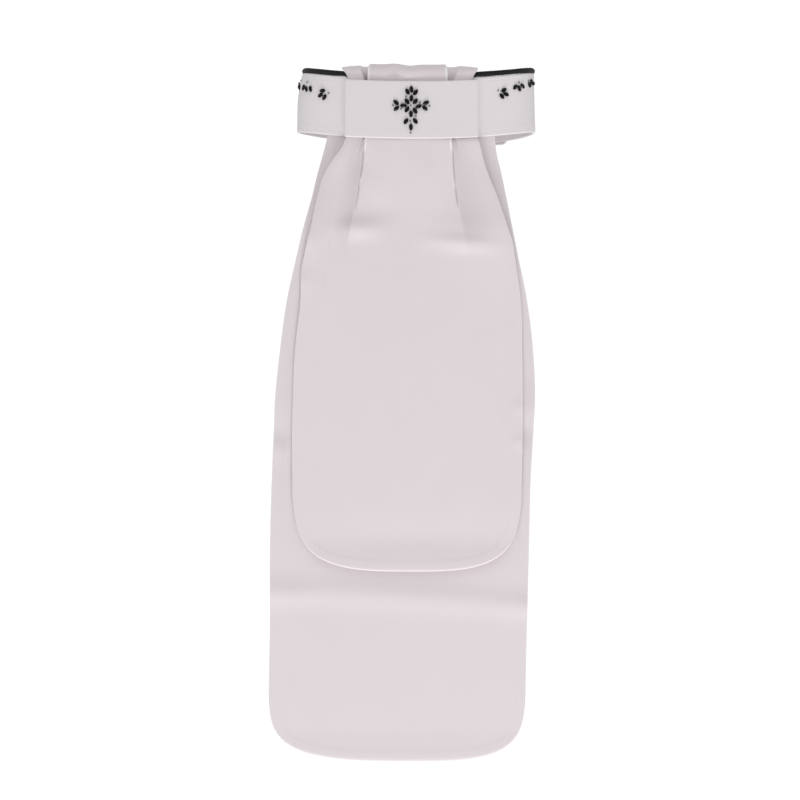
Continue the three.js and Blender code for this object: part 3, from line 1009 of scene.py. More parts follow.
@dataclass
class Tail:
    """One hanging end of the tie: it leaves the band's face and settles into a bowed sheet."""

    tie: Tie
    levels: list[TailLevel]
    swells: list[Swell]
    drop: float
    half_width: float
    band_out: float
    forward: float
    bow: float
    end_round: float
    settle: float = 60.0 * MM
    hem_round: float = 0.999
    round_across: float = 3.2
    round_down: float = 6.5
    curl: float = 1.2 * MM
    curl_height: float = 20.0 * MM
    hang_rows: int = 210
    row_crowding: float = 0.35
    # Rows below the band over which the tail comes to hang free
    loosening: tuple[int, int] = (10, 60)
    hem: Hem = field(default_factory=Hem)

    def hung_shares(self) -> Array:
        """Shares of the drop for the hanging rows, closer together at the lower end."""
        shares = np.linspace(0.0, 1.0, self.hang_rows)
        return mix(shares, np.sin(shares * np.pi / 2), self.row_crowding)

    def lengths_down(self, middle: Array) -> Array:
        """Length along the cloth from the first row to each point."""
        run = np.linalg.norm(np.diff(middle, axis=0), axis=-1)
        return np.concatenate([np.zeros((1, run.shape[1])), np.cumsum(run, axis=0)])

    def hanging(self, rows: int, on_band: int) -> Array:
        """How free each row hangs, from 0 on the band to 1."""
        start, end = self.loosening
        return smoothstep(np.arange(rows)[:, None], on_band + start, on_band + end)

    def rounded_drop(self, across: Array, down: float) -> Array:
        """How far down each point of a row is, where the outline rounds in at the lower end.

        Args:
            across: shares from the middle to the edge.
            down: the row's share of the drop.

        Returns:
            The drop of each point.
        """
        straight = self.drop - self.end_round
        sunk = down * self.drop
        if sunk <= straight:
            return np.full(across.shape, sunk)
        reach = 1 - (self.hem_round * np.abs(across)) ** self.round_across
        return straight + (sunk - straight) * reach ** (1 / self.round_down)

    def swelling(self, x: Array, drop: Array) -> Array:
        """Adds up the swellings at places on the tail.

        Args:
            x: places across.
            drop: places down.

        Returns:
            The rise there.
        """
        across = (x - self.tie.centre) / self.half_width
        return sum(swell.height(across, drop / self.drop) for swell in self.swells)

    def hang(self, x: Array, drop: Array, out: Array) -> Array:
        """Places points of the hanging sheet.

        Args:
            x: places across.
            drop: distances down from the band's bottom edge.
            out: distances towards the front from the sheet's own face.

        Returns:
            Points in the row frame.
        """
        loop = self.tie.loop
        settled = smoothstep(drop, 0.0, self.settle)
        at_band = loop.place(x, loop.bottom, self.band_out + out)
        bow = self.bow * ((x - self.tie.centre) / self.half_width) ** 2
        hung_y = -(loop.half_depth + self.forward + out) + bow
        lowest = float(loop.middle(np.array(0.0), np.array(-loop.half_depth))) + loop.bottom
        return np.stack(
            [
                mix(at_band[..., 0], x, settled),
                mix(at_band[..., 1], hung_y, settled),
                mix(at_band[..., 2], lowest, settled) - drop,
            ],
            axis=-1,
        )

    def dress(
        self,
        name: str,
        middle: Array,
        flat: Array,
        hanging: Array,
        creases: Array,
        cloth: bpy.types.Material,
    ) -> bpy.types.Object:
        """Turns the tail's surface into hemmed cloth.

        Args:
            name: the piece's name.
            middle: the surface's points.
            flat: their places on the flat cloth.
            hanging: 1 where the cloth hangs free, and 0 on the band.
            creases: distance of each point from the nearest pressed crease.
            cloth: its material.

        Returns:
            The finished piece.
        """
        distance = rim_distance(flat, False)
        depth = middle[..., 2] - middle[..., 2].min()
        middle = middle.copy()
        middle[..., 1] -= self.curl * (1 - smoothstep(depth, 0.0, self.curl_height)) * hanging
        thickness = self.hem.thickness(distance)
        # The tail's hems and creases get the cloth's painted highlight
        piece = closed_sheet(name, middle, thickness, flat, np.minimum(distance, creases))
        piece.data.materials.append(cloth)
        return piece


class Zone(Enum):
    """The five stretches across the front tail, parted by its fold lines."""

    LEFT_FLAP = 0
    LEFT_RECESS = 1
    BOX = 2
    RIGHT_RECESS = 3
    RIGHT_FLAP = 4


FRONT_LEVELS = [
    TailLevel(0.0, 0.56, 0.56, 0.395, 0.34, 0.43, 0.39, 1.0),
    TailLevel(0.012, 0.579, 0.577, 0.398, 0.343, 0.44, 0.4, 0.95),
    TailLevel(0.03, 0.61, 0.596, 0.403, 0.346, 0.47, 0.42, 0.6),
    TailLevel(0.054, 0.673, 0.621, 0.409, 0.35, 0.51, 0.45, 0.38),
    TailLevel(0.089, 0.76, 0.667, 0.427, 0.36, 0.57, 0.49, 0.26),
    TailLevel(0.135, 0.821, 0.742, 0.455, 0.378, 0.62, 0.55, 0.19),
    TailLevel(0.175, 0.855, 0.8, 0.485, 0.405, 0.65, 0.62, 0.13),
    TailLevel(0.205, 0.879, 0.84, 0.51, 0.43, 0.68, 0.66, 0.06),
    TailLevel(0.234, 0.908, 0.877, 0.53, 0.45, 0.71, 0.69, 0.02),
    TailLevel(0.262, 0.93, 0.896, 0.545, 0.468, 0.73, 0.71, 0.0),
    TailLevel(0.287, 0.951, 0.91, 0.555, 0.48, 0.75, 0.72, 0.0),
    TailLevel(0.373, 0.968, 0.952, 0.57, 0.5, 0.78, 0.74, 0.0),
    TailLevel(0.488, 1.016, 0.966, 0.585, 0.51, 0.8, 0.75, 0.0),
    TailLevel(0.604, 1.035, 0.969, 0.6, 0.52, 0.8, 0.75, 0.0),
    TailLevel(0.743, 1.041, 0.969, 0.6, 0.52, 0.8, 0.75, 0.0),
    TailLevel(1.0, 1.043, 0.966, 0.6, 0.52, 0.8, 0.75, 0.0),
]

FRONT_SWELLS = [
    Swell(0.62, 0.225, 0.24, 0.09, 2.2 * MM),
    Swell(0.44, 0.242, 0.26, 0.018, 2.4 * MM, 0.02),
    Swell(0.44, 0.212, 0.28, 0.032, 1.3 * MM, 0.02),
    Swell(-0.47, 0.208, 0.17, 0.022, 3.0 * MM),
    Swell(-0.95, 0.235, 0.14, 0.022, 0.9 * MM),
    Swell(0.54, 0.005, 0.16, 0.035, 2.2 * MM),
    Swell(-0.28, 0.165, 0.14, 0.03, -1.1 * MM),
    Swell(-0.42, 0.06, 0.12, 0.03, -1.0 * MM),
    Swell(-0.68, 0.05, 0.1, 0.04, 0.9 * MM),
    Swell(0.1, 0.09, 0.14, 0.05, 0.7 * MM),
    Swell(-0.97, 0.33, 0.12, 0.02, 0.8 * MM),
    Swell(0.96, 0.62, 0.07, 0.018, 0.8 * MM),
    Swell(0.96, 0.7, 0.07, 0.016, 0.8 * MM),
    Swell(0.1, 0.92, 0.8, 0.045, -1.1 * MM),
    Swell(-0.05, 0.5, 0.6, 0.2, 0.9 * MM),
]

BACK_LEVELS = [
    TailLevel(0.0, 0.669, 0.652),
    TailLevel(0.03, 0.708, 0.669),
    TailLevel(0.058, 0.743, 0.699),
    TailLevel(0.098, 0.775, 0.73),
    TailLevel(0.139, 0.814, 0.76),
    TailLevel(0.179, 0.856, 0.796),
    TailLevel(0.259, 0.939, 0.871),
    TailLevel(0.339, 0.991, 0.917),
    TailLevel(0.42, 1.029, 0.932),
    TailLevel(0.468, 1.038, 0.921),
    TailLevel(0.54, 1.052, 0.901),
    TailLevel(0.66, 1.067, 0.886),
    TailLevel(0.781, 1.067, 0.871),
    TailLevel(0.861, 1.074, 0.862),
    TailLevel(1.0, 1.078, 0.848),
]

BACK_SWELLS = [
    Swell(0.0, 0.737, 2.4, 0.02, 1.4 * MM, 0.012),
    Swell(-1.0, 0.735, 0.25, 0.016, 0.9 * MM),
    Swell(0.9, 0.755, 0.25, 0.016, 0.9 * MM),
    Swell(-1.02, 0.47, 0.1, 0.02, -1.1 * MM),
    Swell(-1.0, 0.5, 0.12, 0.016, 0.7 * MM),
    Swell(0.9, 0.43, 0.12, 0.025, 1.0 * MM),
    Swell(0.88, 0.47, 0.1, 0.018, -0.9 * MM),
]


@dataclass
class FrontTail(Tail):
    """The tie's pleated front end: from behind the band, over the piping and down the front."""

    levels: list[TailLevel] = field(default_factory=lambda: list(FRONT_LEVELS))
    swells: list[Swell] = field(default_factory=lambda: list(FRONT_SWELLS))
    drop: float = 260.5 * MM
    half_width: float = 69.0 * MM
    band_out: float = 0.0
    forward: float = 0.9 * MM
    bow: float = 4.0 * MM
    end_round: float = 98.0 * MM
    pleat_rise: float = 1.9 * MM
    pleat_edge: float = 1.0 * MM
    soft_edge: float = 2.0 * MM
    fold_lift: float = 3.3 * MM
    fold_forward: float = 1.5 * MM
    fold_edge: float = 1.2 * MM
    inner_leg: float = 12.0 * MM
    flap_rise: float = 0.78
    flap_edge: float = 0.45
    recess_fall: float = 0.16
    # Shares of the drop by which fold lines soften, the pleat is full and its recess spreads
    softens_by: float = 0.05
    full_by: float = 0.06
    spreads_by: float = 0.08
    # The tie's edges and folds over the piping, and where it goes in behind the panel
    crest: TailLevel = TailLevel(0.0, 0.63, 0.592, 0.374, 0.305, 0.457, 0.424, 1.0)
    mouth: TailLevel = TailLevel(0.0, 0.545, 0.525, 0.374, 0.309, 0.419, 0.378, 1.0)
    # How far from crest to mouth the tie has narrowed where it comes down past the piping
    narrowed: float = 0.62
    # Cosines of the turn over the piping between which the box's folds come in
    front_turn: tuple[float, float] = (-0.2, 0.8)
    tucks_from: float = 0.35
    mouth_gap: float = 0.3 * MM
    tunnel_gap: float = 0.2 * MM
    tunnel_share: float = 0.97
    first_hung: float = 0.6
    # Heights over the piping, in shares of the box's: flap outside and inside, then recess
    flap_heights: tuple[float, float, float] = (0.1, 0.6, 0.45)
    # Rows up inside the band, over the piping, down to the panel and behind it
    band_rows: tuple[int, int, int, int] = (9, 26, 10, 12)
    # Middle, width and rise of each soft fold across the box, then of its upper outline
    box_folds: tuple[tuple[float, float, float], ...] = (
        (0.34, 0.075, -0.85),
        (0.5, 0.09, 0.3),
        (0.8, 0.1, -0.12),
    )
    box_crests: tuple[tuple[float, float, float], ...] = (
        (0.32, 0.09, 0.16),
        (0.54, 0.09, -0.2),
        (0.86, 0.12, -0.03),
    )
    # Shade of the left and right slit beside the box, over the piping
    painted_slit_shades: tuple[float, float] = (0.75, 0.3)
    slit_core: float = 0.35
    mouth_shade: float = 0.17
    mouth_fold_shade: float = 0.16
    mouth_fold_width: float = 0.09
    # Rows over which the shade of the slits, and of the box, comes in
    slit_rows: tuple[int, int] = (22, 42)
    mouth_rows: tuple[int, int] = (34, 44)
    # Strength and width of the shade beside the left and right dart
    dart_shades: tuple[tuple[float, float], ...] = ((0.17, 13.0 * MM), (0.13, 22.0 * MM))
    dart_line: float = 0.8 * MM
    # Rise of the pleat at which a dart's shade starts and is full
    dart_fade: tuple[float, float] = (0.02, 0.15)
    crease_fade: float = 2.0 * MM
    columns: tuple[int, ...] = (26, 20, 60, 20, 26)

    def __post_init__(self) -> None:
        """Lays out the columns: a zone, and a share across it from left to right, for each."""
        self.band_out = self.tie.out + self.tie.wall / 2
        counts = zip(Zone, self.columns)
        self.zones = np.concatenate([[zone.value] * count for zone, count in counts])
        self.shares = np.concatenate([crowded(count) for count in self.columns])

    def across(self, level: TailLevel, edge: float) -> Array:
        """Places the columns of a row across.

        Args:
            level: the row's edges and folds.
            edge: how wide the step at a fold line is.

        Returns:
            The columns' places across.
        """
        half = edge / 2 / self.half_width
        bounds = [
            (-level.left, -level.left_flap),
            (-level.left_flap, -level.left_fold - half),
            (half - level.left_fold, level.right_fold - half),
            (level.right_fold + half, level.right_flap),
            (level.right_flap, level.right),
        ]
        starts, ends = np.array(bounds)[self.zones].T
        share = mix(starts, ends, self.shares)
        return self.tie.centre + share * self.half_width

    def profile(self, fall: float) -> Array:
        """How far each column stands forwards in a full pleat: 1 on the box, 0 tucked in.

        Args:
            fall: share of the recess over which the flap's edge falls back.

        Returns:
            The rise of each column.
        """
        inwards = np.where(self.zones < Zone.BOX.value, self.shares, 1 - self.shares)
        flap = self.flap_rise * mix(self.flap_edge, 1.0, smoothstep(inwards, 0.0, 0.35))
        recess = self.flap_rise * (1 - smoothstep(inwards, 0.0, fall))
        box = 1 + (self.tie.crown - 1) * np.sin(np.pi * self.shares)
        rises = [flap, recess, box, recess, flap]
        return np.choose(self.zones, rises)

    def dents(self) -> Array:
        """Soft upright folds across the box of the pleat, where it goes over the piping.

        Returns:
            How far each column stands forwards, in shares of the box's height.
        """
        dent = sum(
            rise * np.exp(-(((self.shares - centre) / width) ** 2))
            for centre, width, rise in self.box_folds
        )
        return np.where(self.zones == Zone.BOX.value, dent, 0.0)

    def lift(self) -> Array:
        """How high each column goes over the piping, in shares of the box's height.

        Returns:
            The lift of each column.
        """
        inwards = np.where(self.zones < Zone.BOX.value, self.shares, 1 - self.shares)
        outside, inside, sunk = self.flap_heights
        flap = mix(outside, inside, smoothstep(inwards, -0.1, 1.0))
        recess = mix(inside, sunk, smoothstep(inwards, 0.0, 0.4))
        box = 1.0 + sum(
            rise * np.exp(-(((self.shares - centre) / width) ** 2))
            for centre, width, rise in self.box_crests
        )
        return np.choose(self.zones, [flap, recess, box, recess, flap])

    def rows_on_band(self) -> list[Array]:
        """Builds the rows from behind the band to the tunnel's lower end.

        Returns:
            The rows' points, in order.
        """
        tie, loop = self.tie, self.tie.loop
        half_wall, core = self.tie.wall / 2, -self.tie.band_wall / 2
        profile, lift, dents = self.profile(self.recess_fall), self.lift(), self.dents()
        inner_out = -(tie.band_wall + tie.clearance) - half_wall
        inside, over, down, behind = self.band_rows
        rows = []
        for share in np.linspace(0.0, 1.0, inside)[:-1]:
            level = between(self.mouth, self.crest, share)
            out = inner_out - self.fold_lift * profile * smoothstep(share, 0.0, 1.0)
            up = tie.piping_height - self.inner_leg * (1 - share)
            rows.append(loop.place(self.across(level, self.fold_edge), up, out))
        for turn in np.linspace(np.pi, 0.0, over):
            sunk = 1 - math.sin(turn) if turn < np.pi / 2 else 0.0
            level = between(self.crest, self.mouth, self.narrowed * sunk)
            front = float(smoothstep(math.cos(turn), *self.front_turn))
            forward = tie.fold_radius + self.fold_forward * (profile + dents * front) + half_wall
            upward = tie.fold_radius + self.fold_lift * lift + half_wall
            place = self.across(level, self.fold_edge)
            up = tie.piping_height + upward * math.sin(turn)
            rows.append(loop.place(place, up, core + forward * math.cos(turn)))
        mouth_up = tie.panel_top + self.mouth_gap
        for share in np.linspace(0.0, 1.0, down)[1:]:
            tucked = float(smoothstep(share, self.tucks_from, 1.0))
            level = between(self.crest, self.mouth, mix(self.narrowed, 1.0, share))
            rise = mix(self.fold_forward, tie.tunnel_rise, tucked)
            out = tie.out + half_wall + rise * (profile + dents * (1 - tucked))
            up = mix(tie.piping_height, mouth_up, share)
            rows.append(loop.place(self.across(level, self.fold_edge), up, out))
        for share in np.linspace(0.0, 1.0, behind)[1:]:
            level = between(self.mouth, self.levels[0], share * self.tunnel_share)
            out = tie.out + half_wall + tie.tunnel_rise * profile
            up = mix(mouth_up, tie.panel_bottom + self.tunnel_gap, share)
            rows.append(loop.place(self.across(level, self.pleat_edge), up, out))
        return rows

    def hanging_row(self, down: float) -> Array:
        """Builds one row below the band.

        Args:
            down: the row's share of the drop.

        Returns:
            Its points.
        """
        names = ("left", "right", "left_fold", "right_fold", "left_flap", "right_flap", "pleat")
        values = (float(track(self.levels, name, np.array(down))) for name in names)
        level = TailLevel(down, *values)
        softened = float(smoothstep(down, 0.0, self.softens_by))
        edge = mix(self.pleat_edge, self.soft_edge, softened)
        x = self.across(level, edge)
        share = (x - self.tie.centre) / self.half_width
        across = share / np.where(share < 0, level.left, level.right)
        drop = self.rounded_drop(across, down)
        full = float(smoothstep(down, 0.0, self.full_by))
        rise = mix(self.tie.tunnel_rise, self.pleat_rise, full)
        pleat = float(np.clip(level.pleat, 0, 1))
        fall = mix(self.recess_fall, 1.0, float(smoothstep(down, 0.0, self.spreads_by)))
        out = rise * (1 - pleat * (1 - self.profile(fall))) + self.swelling(x, drop)
        return self.hang(x, drop, out)

    def box_creases(self, middle: Array, on_band: int) -> Array:
        """Measures how far each point is from the pressed edge of the pleat's box.

        Args:
            middle: the surface's points.
            on_band: how many rows lie on the band.

        Returns:
            The distances, long where the pleat has faded out or the point is off the box.
        """
        # These distances place the cloth's painted highlight along the box's fold lines
        box = np.flatnonzero(self.zones == Zone.BOX.value)
        x = middle[..., 0]
        reach = np.minimum(x - x[:, box[:1]], x[:, box[-1:]] - x)
        reach[:, self.zones != Zone.BOX.value] = NO_CREASE
        # The foot of each fold's step gets the painted highlight too
        reach[:, [box[0] - 1, box[-1] + 1]] = 0.0
        down = np.linspace(0.0, 1.0, len(middle) - on_band)
        fade = 1 - track(self.levels, "pleat", down).clip(0, 1)
        reach[on_band:] += self.crease_fade * fade[:, None]
        return reach

    def painted_shade(self, middle: Array, on_band: int) -> Array:
        """Shade of the pleat's slits, whose folded under-layers this single sheet doesn't have.

        Args:
            middle: the surface's points.
            on_band: how many rows lie on the band.

        Returns:
            The shade at each point, from 0 to 1.
        """
        order = np.arange(len(middle))[:, None]
        over = smoothstep(order, *self.slit_rows) * (order < on_band)
        down = np.concatenate([np.zeros(on_band), np.linspace(0.0, 1.0, len(middle) - on_band)])
        pleat = track(self.levels, "pleat", down)[:, None]
        below = (order >= on_band) * smoothstep(pleat, *self.dart_fade)
        x = middle[..., 0]
        shade = np.zeros(x.shape)
        sides = ((Zone.LEFT_RECESS, Zone.LEFT_FLAP), (Zone.RIGHT_RECESS, Zone.RIGHT_FLAP))
        for (recess, flap), depth, (dart, width) in zip(sides, self.painted_slit_shades, self.dart_shades):
            slit = np.flatnonzero(self.zones == recess.value)
            near, far = (slit[-1], slit[0]) if recess is Zone.LEFT_RECESS else (slit[0], slit[-1])
            whole = np.abs(x[:, [far]] - x[:, [near]])
            reach = np.abs(x[:, slit] - x[:, [near]])
            shade[:, slit] = over * (1 - smoothstep(reach / whole, self.slit_core, 1.0)) * depth
            beside = np.flatnonzero((self.zones == recess.value) | (self.zones == flap.value))
            reach = np.abs(x[:, beside] - x[:, [near]])
            soft = smoothstep(reach, 0.0, self.dart_line)
            soft *= 1 - smoothstep(reach, self.dart_line, width)
            shade[:, beside] += below * soft * dart
        box = self.zones == Zone.BOX.value
        aside = (self.shares[box] - self.box_folds[0][0]) / self.mouth_fold_width
        depth = self.mouth_shade + self.mouth_fold_shade * np.exp(-(aside**2))
        shade[:, box] = over * smoothstep(order, *self.mouth_rows) * depth
        return shade

    def build(self, cloth: bpy.types.Material) -> bpy.types.Object:
        """Builds the front tail.

        Args:
            cloth: its material.

        Returns:
            The finished piece.
        """
        rows = self.rows_on_band()
        on_band = len(rows)
        first = self.levels[1].down * self.first_hung
        for down in mix(first, 1.0, self.hung_shares()):
            rows.append(self.hanging_row(float(down)))
        middle = np.stack(rows)
        length = self.lengths_down(middle)
        centre = length[:, length.shape[1] // 2][:, None]
        below = length - length[on_band] + centre[on_band]
        order = np.arange(len(rows))[:, None]
        flat = np.stack([middle[..., 0], -np.where(order < on_band, centre, below)], axis=-1)
        hanging = self.hanging(len(rows), on_band)
        creases = self.box_creases(middle, on_band)
        piece = self.dress("front_tail_cloth", middle, flat, hanging, creases, cloth)
        # Painted shade in the pleat's slits, beside the darts and at the panel's mouth, which
        # darkens the cloth's colour
        keep_values(piece, "slit", self.painted_shade(middle, on_band))
        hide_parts("front_tail")
        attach(piece, "root")
        return piece


@dataclass
class BackTail(Tail):
    """The longer rear end of the tie, hanging from inside the band."""

    levels: list[TailLevel] = field(default_factory=lambda: list(BACK_LEVELS))
    swells: list[Swell] = field(default_factory=lambda: list(BACK_SWELLS))
    drop: float = 375.0 * MM
    half_width: float = 80.0 * MM
    band_out: float = 0.0
    forward: float = -1.0 * MM
    bow: float = 4.0 * MM
    end_round: float = 71.0 * MM
    top_share: float = 0.46
    inner_leg: float = 12.3 * MM
    columns: int = 110
    hang_rows: int = 230
    band_rows: int = 16
    edge_crowding: float = 0.88
    # Shares of the drop over which the swellings come in
    swell_in: tuple[float, float] = (0.02, 0.12)

    def __post_init__(self) -> None:
        """Sets the tail's face just inside the band's wall."""
        self.band_out = -(self.tie.band_wall + self.tie.clearance + self.tie.wall / 2)

    def build(self, cloth: bpy.types.Material) -> bpy.types.Object:
        """Builds the back tail.

        Args:
            cloth: its material.

        Returns:
            The finished piece.
        """
        loop, tie = self.tie.loop, self.tie
        even = np.linspace(0.0, 1.0, self.columns)
        turn = 2 * mix(even, crowded(self.columns), self.edge_crowding) - 1
        rows = []
        top = tie.piping_height - self.inner_leg
        for share in np.linspace(0.0, 1.0, self.band_rows)[:-1]:
            width = mix(self.top_share, self.levels[0].left, share**2) * self.half_width
            up = mix(top, loop.bottom, share)
            rows.append(loop.place(tie.centre + turn * width, up, self.band_out))
        on_band = len(rows)
        for down in self.hung_shares():
            drop = self.rounded_drop(turn, float(down))
            left = track(self.levels, "left", drop / self.drop)
            right = track(self.levels, "right", drop / self.drop)
            x = tie.centre + turn * np.where(turn < 0, left, right) * self.half_width
            out = self.swelling(x, drop) * float(smoothstep(down, *self.swell_in))
            rows.append(self.hang(x, drop, out))
        middle = np.stack(rows)
        flat = np.stack([middle[..., 0], -self.lengths_down(middle)], axis=-1)
        hanging, creases = self.hanging(len(rows), on_band), np.array(NO_CREASE)
        piece = self.dress("back_tail_cloth", middle, flat, hanging, creases, cloth)
        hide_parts("back_tail")
        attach(piece, "root")
        return piece


@dataclass
class CollarBand:
    """The strip closed round the neck, its ends lapped at the nape, with rows of stitching."""

    tie: Tie
    wall: float = 2.0 * MM
    inner_end_past_nape: float = 20.0 * MM
    outer_end_past_nape: float = 57.0 * MM
    outer_end_drop: float = 1.8 * MM
    end_drop_length: float = 45.0 * MM
    end_corner: float = 4.0 * MM
    overlap_ramp: float = 26.0 * MM
    patch_wall: float = 0.9 * MM
    patch_height: float = 24.0 * MM
    low_stitch: float = 2.2 * MM
    high_stitch: float = 2.0 * MM
    groove: float = 0.34 * MM
    groove_width: float = 0.35 * MM
    stitch_sink: float = 0.14 * MM
    ripple: float = 0.12 * MM
    ripple_length: float = 17.0 * MM
    corner_share: float = 0.96
    piping_sink: float = 0.25 * MM
    piping_sides: int = 20
    piping_steps: int = 520
    # Rounded ends of the piping: inset in radii, rings, and shares of the length they take
    cap_inset: float = 0.2
    cap_steps: int = 6
    cap_share: float = 0.012
    cap_end: float = 0.008
    thinnest_end: float = 0.05 * MM
    # Height in radii and length of the cord's faint lumps, and what they leave of its radius
    lumps: tuple[tuple[float, float], ...] = ((0.02, 5.3 * MM), (0.015, 2.1 * MM))
    lump_room: float = 0.985
    end_share: float = 0.04
    end_steps: int = 60
    along_steps: int = 420
    up_steps: int = 44

    def __post_init__(self) -> None:
        """Works out the strip's two ends."""
        half = self.tie.loop.length / 2
        self.outer_end = -(half + self.outer_end_past_nape)
        self.inner_end = half + self.inner_end_past_nape
        self.overlap_out = 2 * self.tie.piping_radius + self.tie.gap
        self.ramp_end = -(half - self.inner_end_past_nape) + 2 * self.tie.piping_radius

    def layer_out(self, along: Array) -> Array:
        """Distance that the lapping layer stands outwards, at lengths along the strip."""
        ramp_start = self.ramp_end + self.overlap_ramp
        return self.overlap_out * smoothstep(-along, -ramp_start, -self.ramp_end)

    def layer_drop(self, along: Array) -> Array:
        """Height lost towards the strip's outer end, at lengths along the strip."""
        short = self.outer_end + self.end_drop_length - along
        return -self.outer_end_drop * np.clip(short / self.end_drop_length, 0, 1) ** 2

    def corner_lift(self, along: Array) -> Array:
        """Height that the rounded lower corners take off the bottom edge."""
        inset = np.minimum(along - self.outer_end, self.inner_end - along)
        short = np.clip(self.end_corner - inset, 0, self.end_corner)
        return self.end_corner - np.sqrt(self.end_corner**2 - short**2)

    def build(self, cloth: bpy.types.Material) -> bpy.types.Object:
        """Builds the band.

        Args:
            cloth: its material.

        Returns:
            The finished piece.
        """
        loop = self.tie.loop
        ends = (crowded(self.end_steps) * self.end_share)[: self.end_steps // 2]
        even = np.linspace(ends[-1], 1 - ends[-1], self.along_steps)
        shares = np.concatenate([ends[:-1], even, 1 - ends[:-1][::-1]])
        along = mix(self.outer_end, self.inner_end, shares)[None, :]
        up_share = crowded(self.up_steps)[:, None]
        low = loop.bottom + self.corner_lift(along) * self.corner_share
        up = mix(low, loop.top, up_share)
        ripple = self.ripple * np.sin(along / self.ripple_length) * np.sin(np.pi * up_share)
        out = self.layer_out(along) - self.wall / 2 + ripple
        points = loop.place(along + 0 * up, up, out + 0 * up)
        points[..., 2] += self.layer_drop(along)
        flat = np.stack([along + 0 * up, up], axis=-1)
        hem = Hem(wall=self.wall * 0.9, allowance=6 * MM, extra=0.1 * MM)
        distance = rim_distance(flat, True)
        thickness = hem.thickness(distance)
        for line in (loop.bottom + self.low_stitch, loop.top - self.high_stitch):
            beside = (up - line) / self.groove_width
            thickness = thickness - self.groove * np.exp(-(beside**2))
        thickness = np.maximum(thickness, hem.thinnest)
        # The band's edges get the cloth's painted highlight
        piece = closed_sheet("collar_band_cloth", points, thickness, flat, distance)
        piece.data.materials.append(cloth)
        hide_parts("collar_band")
        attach(piece, "root")
        return piece

    def patch(self, tape: bpy.types.Material) -> bpy.types.Object:
        """Builds the fastening patch between the lapped layers.

        Args:
            tape: its material.

        Returns:
            The finished piece.
        """
        loop, tie = self.tie.loop, self.tie
        low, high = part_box("fastening_patch")
        half = loop.length / 2
        along = mix(half - high.x, half - low.x, crowded(60))[None, :]
        up = mix(-self.patch_height / 2, self.patch_height / 2, crowded(24))[:, None]
        points = loop.place(along + 0 * up, up + 0 * along, tie.gap + self.patch_wall / 2)
        flat = np.stack([along + 0 * up, up + 0 * along], axis=-1)
        distance = rim_distance(flat, True)
        thickness = Hem(wall=self.patch_wall, extra=0.0).thickness(distance)
        piece = closed_sheet("fastening_tape", points, thickness, flat, distance)
        piece.data.materials.append(tape)
        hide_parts("fastening_patch")
        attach(piece, "root")
        return piece

    def piping(self, cord: bpy.types.Material) -> bpy.types.Object:
        """Builds the covered cord along the band's top edge.

        Args:
            cord: its material.

        Returns:
            The finished piece.
        """
        tie, loop = self.tie, self.tie.loop
        radius = tie.piping_radius
        inset = radius * self.cap_inset
        near = crowded(2 * self.cap_steps)[: self.cap_steps] * self.cap_share
        even = np.linspace(self.cap_end, 1 - self.cap_end, self.piping_steps)
        shares = np.concatenate([near, even, 1 - near[::-1]])
        along = mix(self.outer_end + inset, self.inner_end - inset, shares)[:, None]
        end_gap = np.minimum(along - along[0], along[-1] - along)
        cap = np.sqrt(1 - (1 - np.clip(end_gap / radius, 0, 1)) ** 2)
        lump = sum((rise * np.sin(along / reach) for rise, reach in self.lumps), 1.0)
        size = np.maximum(radius * cap * lump * self.lump_room, self.thinnest_end)
        turn = np.linspace(0, 2 * np.pi, self.piping_sides, endpoint=False)[None, :]
        out = self.layer_out(along) - tie.band_wall / 2 + size * np.cos(turn)
        up = tie.piping_height - self.piping_sink + size * np.sin(turn)
        points = loop.place(along + 0 * turn, up, out)
        points[..., 2] += self.layer_drop(along)
        flat = np.stack([along + 0 * turn, turn * radius + 0 * along], axis=-1)
        piece = closed_tube("piping_cord", points, flat)
        piece.data.materials.append(cord)
        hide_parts("piping")
        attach(piece, "root")
        return piece

    def stitch_paths(self) -> list[tuple[Array, Array]]:
        """Lines that the band's rows of stitches follow, on its outer and inner face.

        Returns:
            Points and outward ways of each line.
        """
        loop = self.tie.loop
        inset = 4 * MM
        along = np.linspace(self.outer_end + inset, self.inner_end - inset, 700)
        paths = []
        for face in (0.0, -self.wall):
            for line in (loop.bottom + self.low_stitch, loop.top - self.high_stitch):
                keep = line > loop.bottom + self.corner_lift(along) + 1 * MM
                run = along[keep]
                side = 1.0 if face == 0.0 else -1.0
                out = self.layer_out(run) + face - side * self.stitch_sink
                points = loop.place(run, line, out)
                points[:, 2] += self.layer_drop(run)
                way = loop.outward(run) * side
                paths.append((points, way))
        return paths


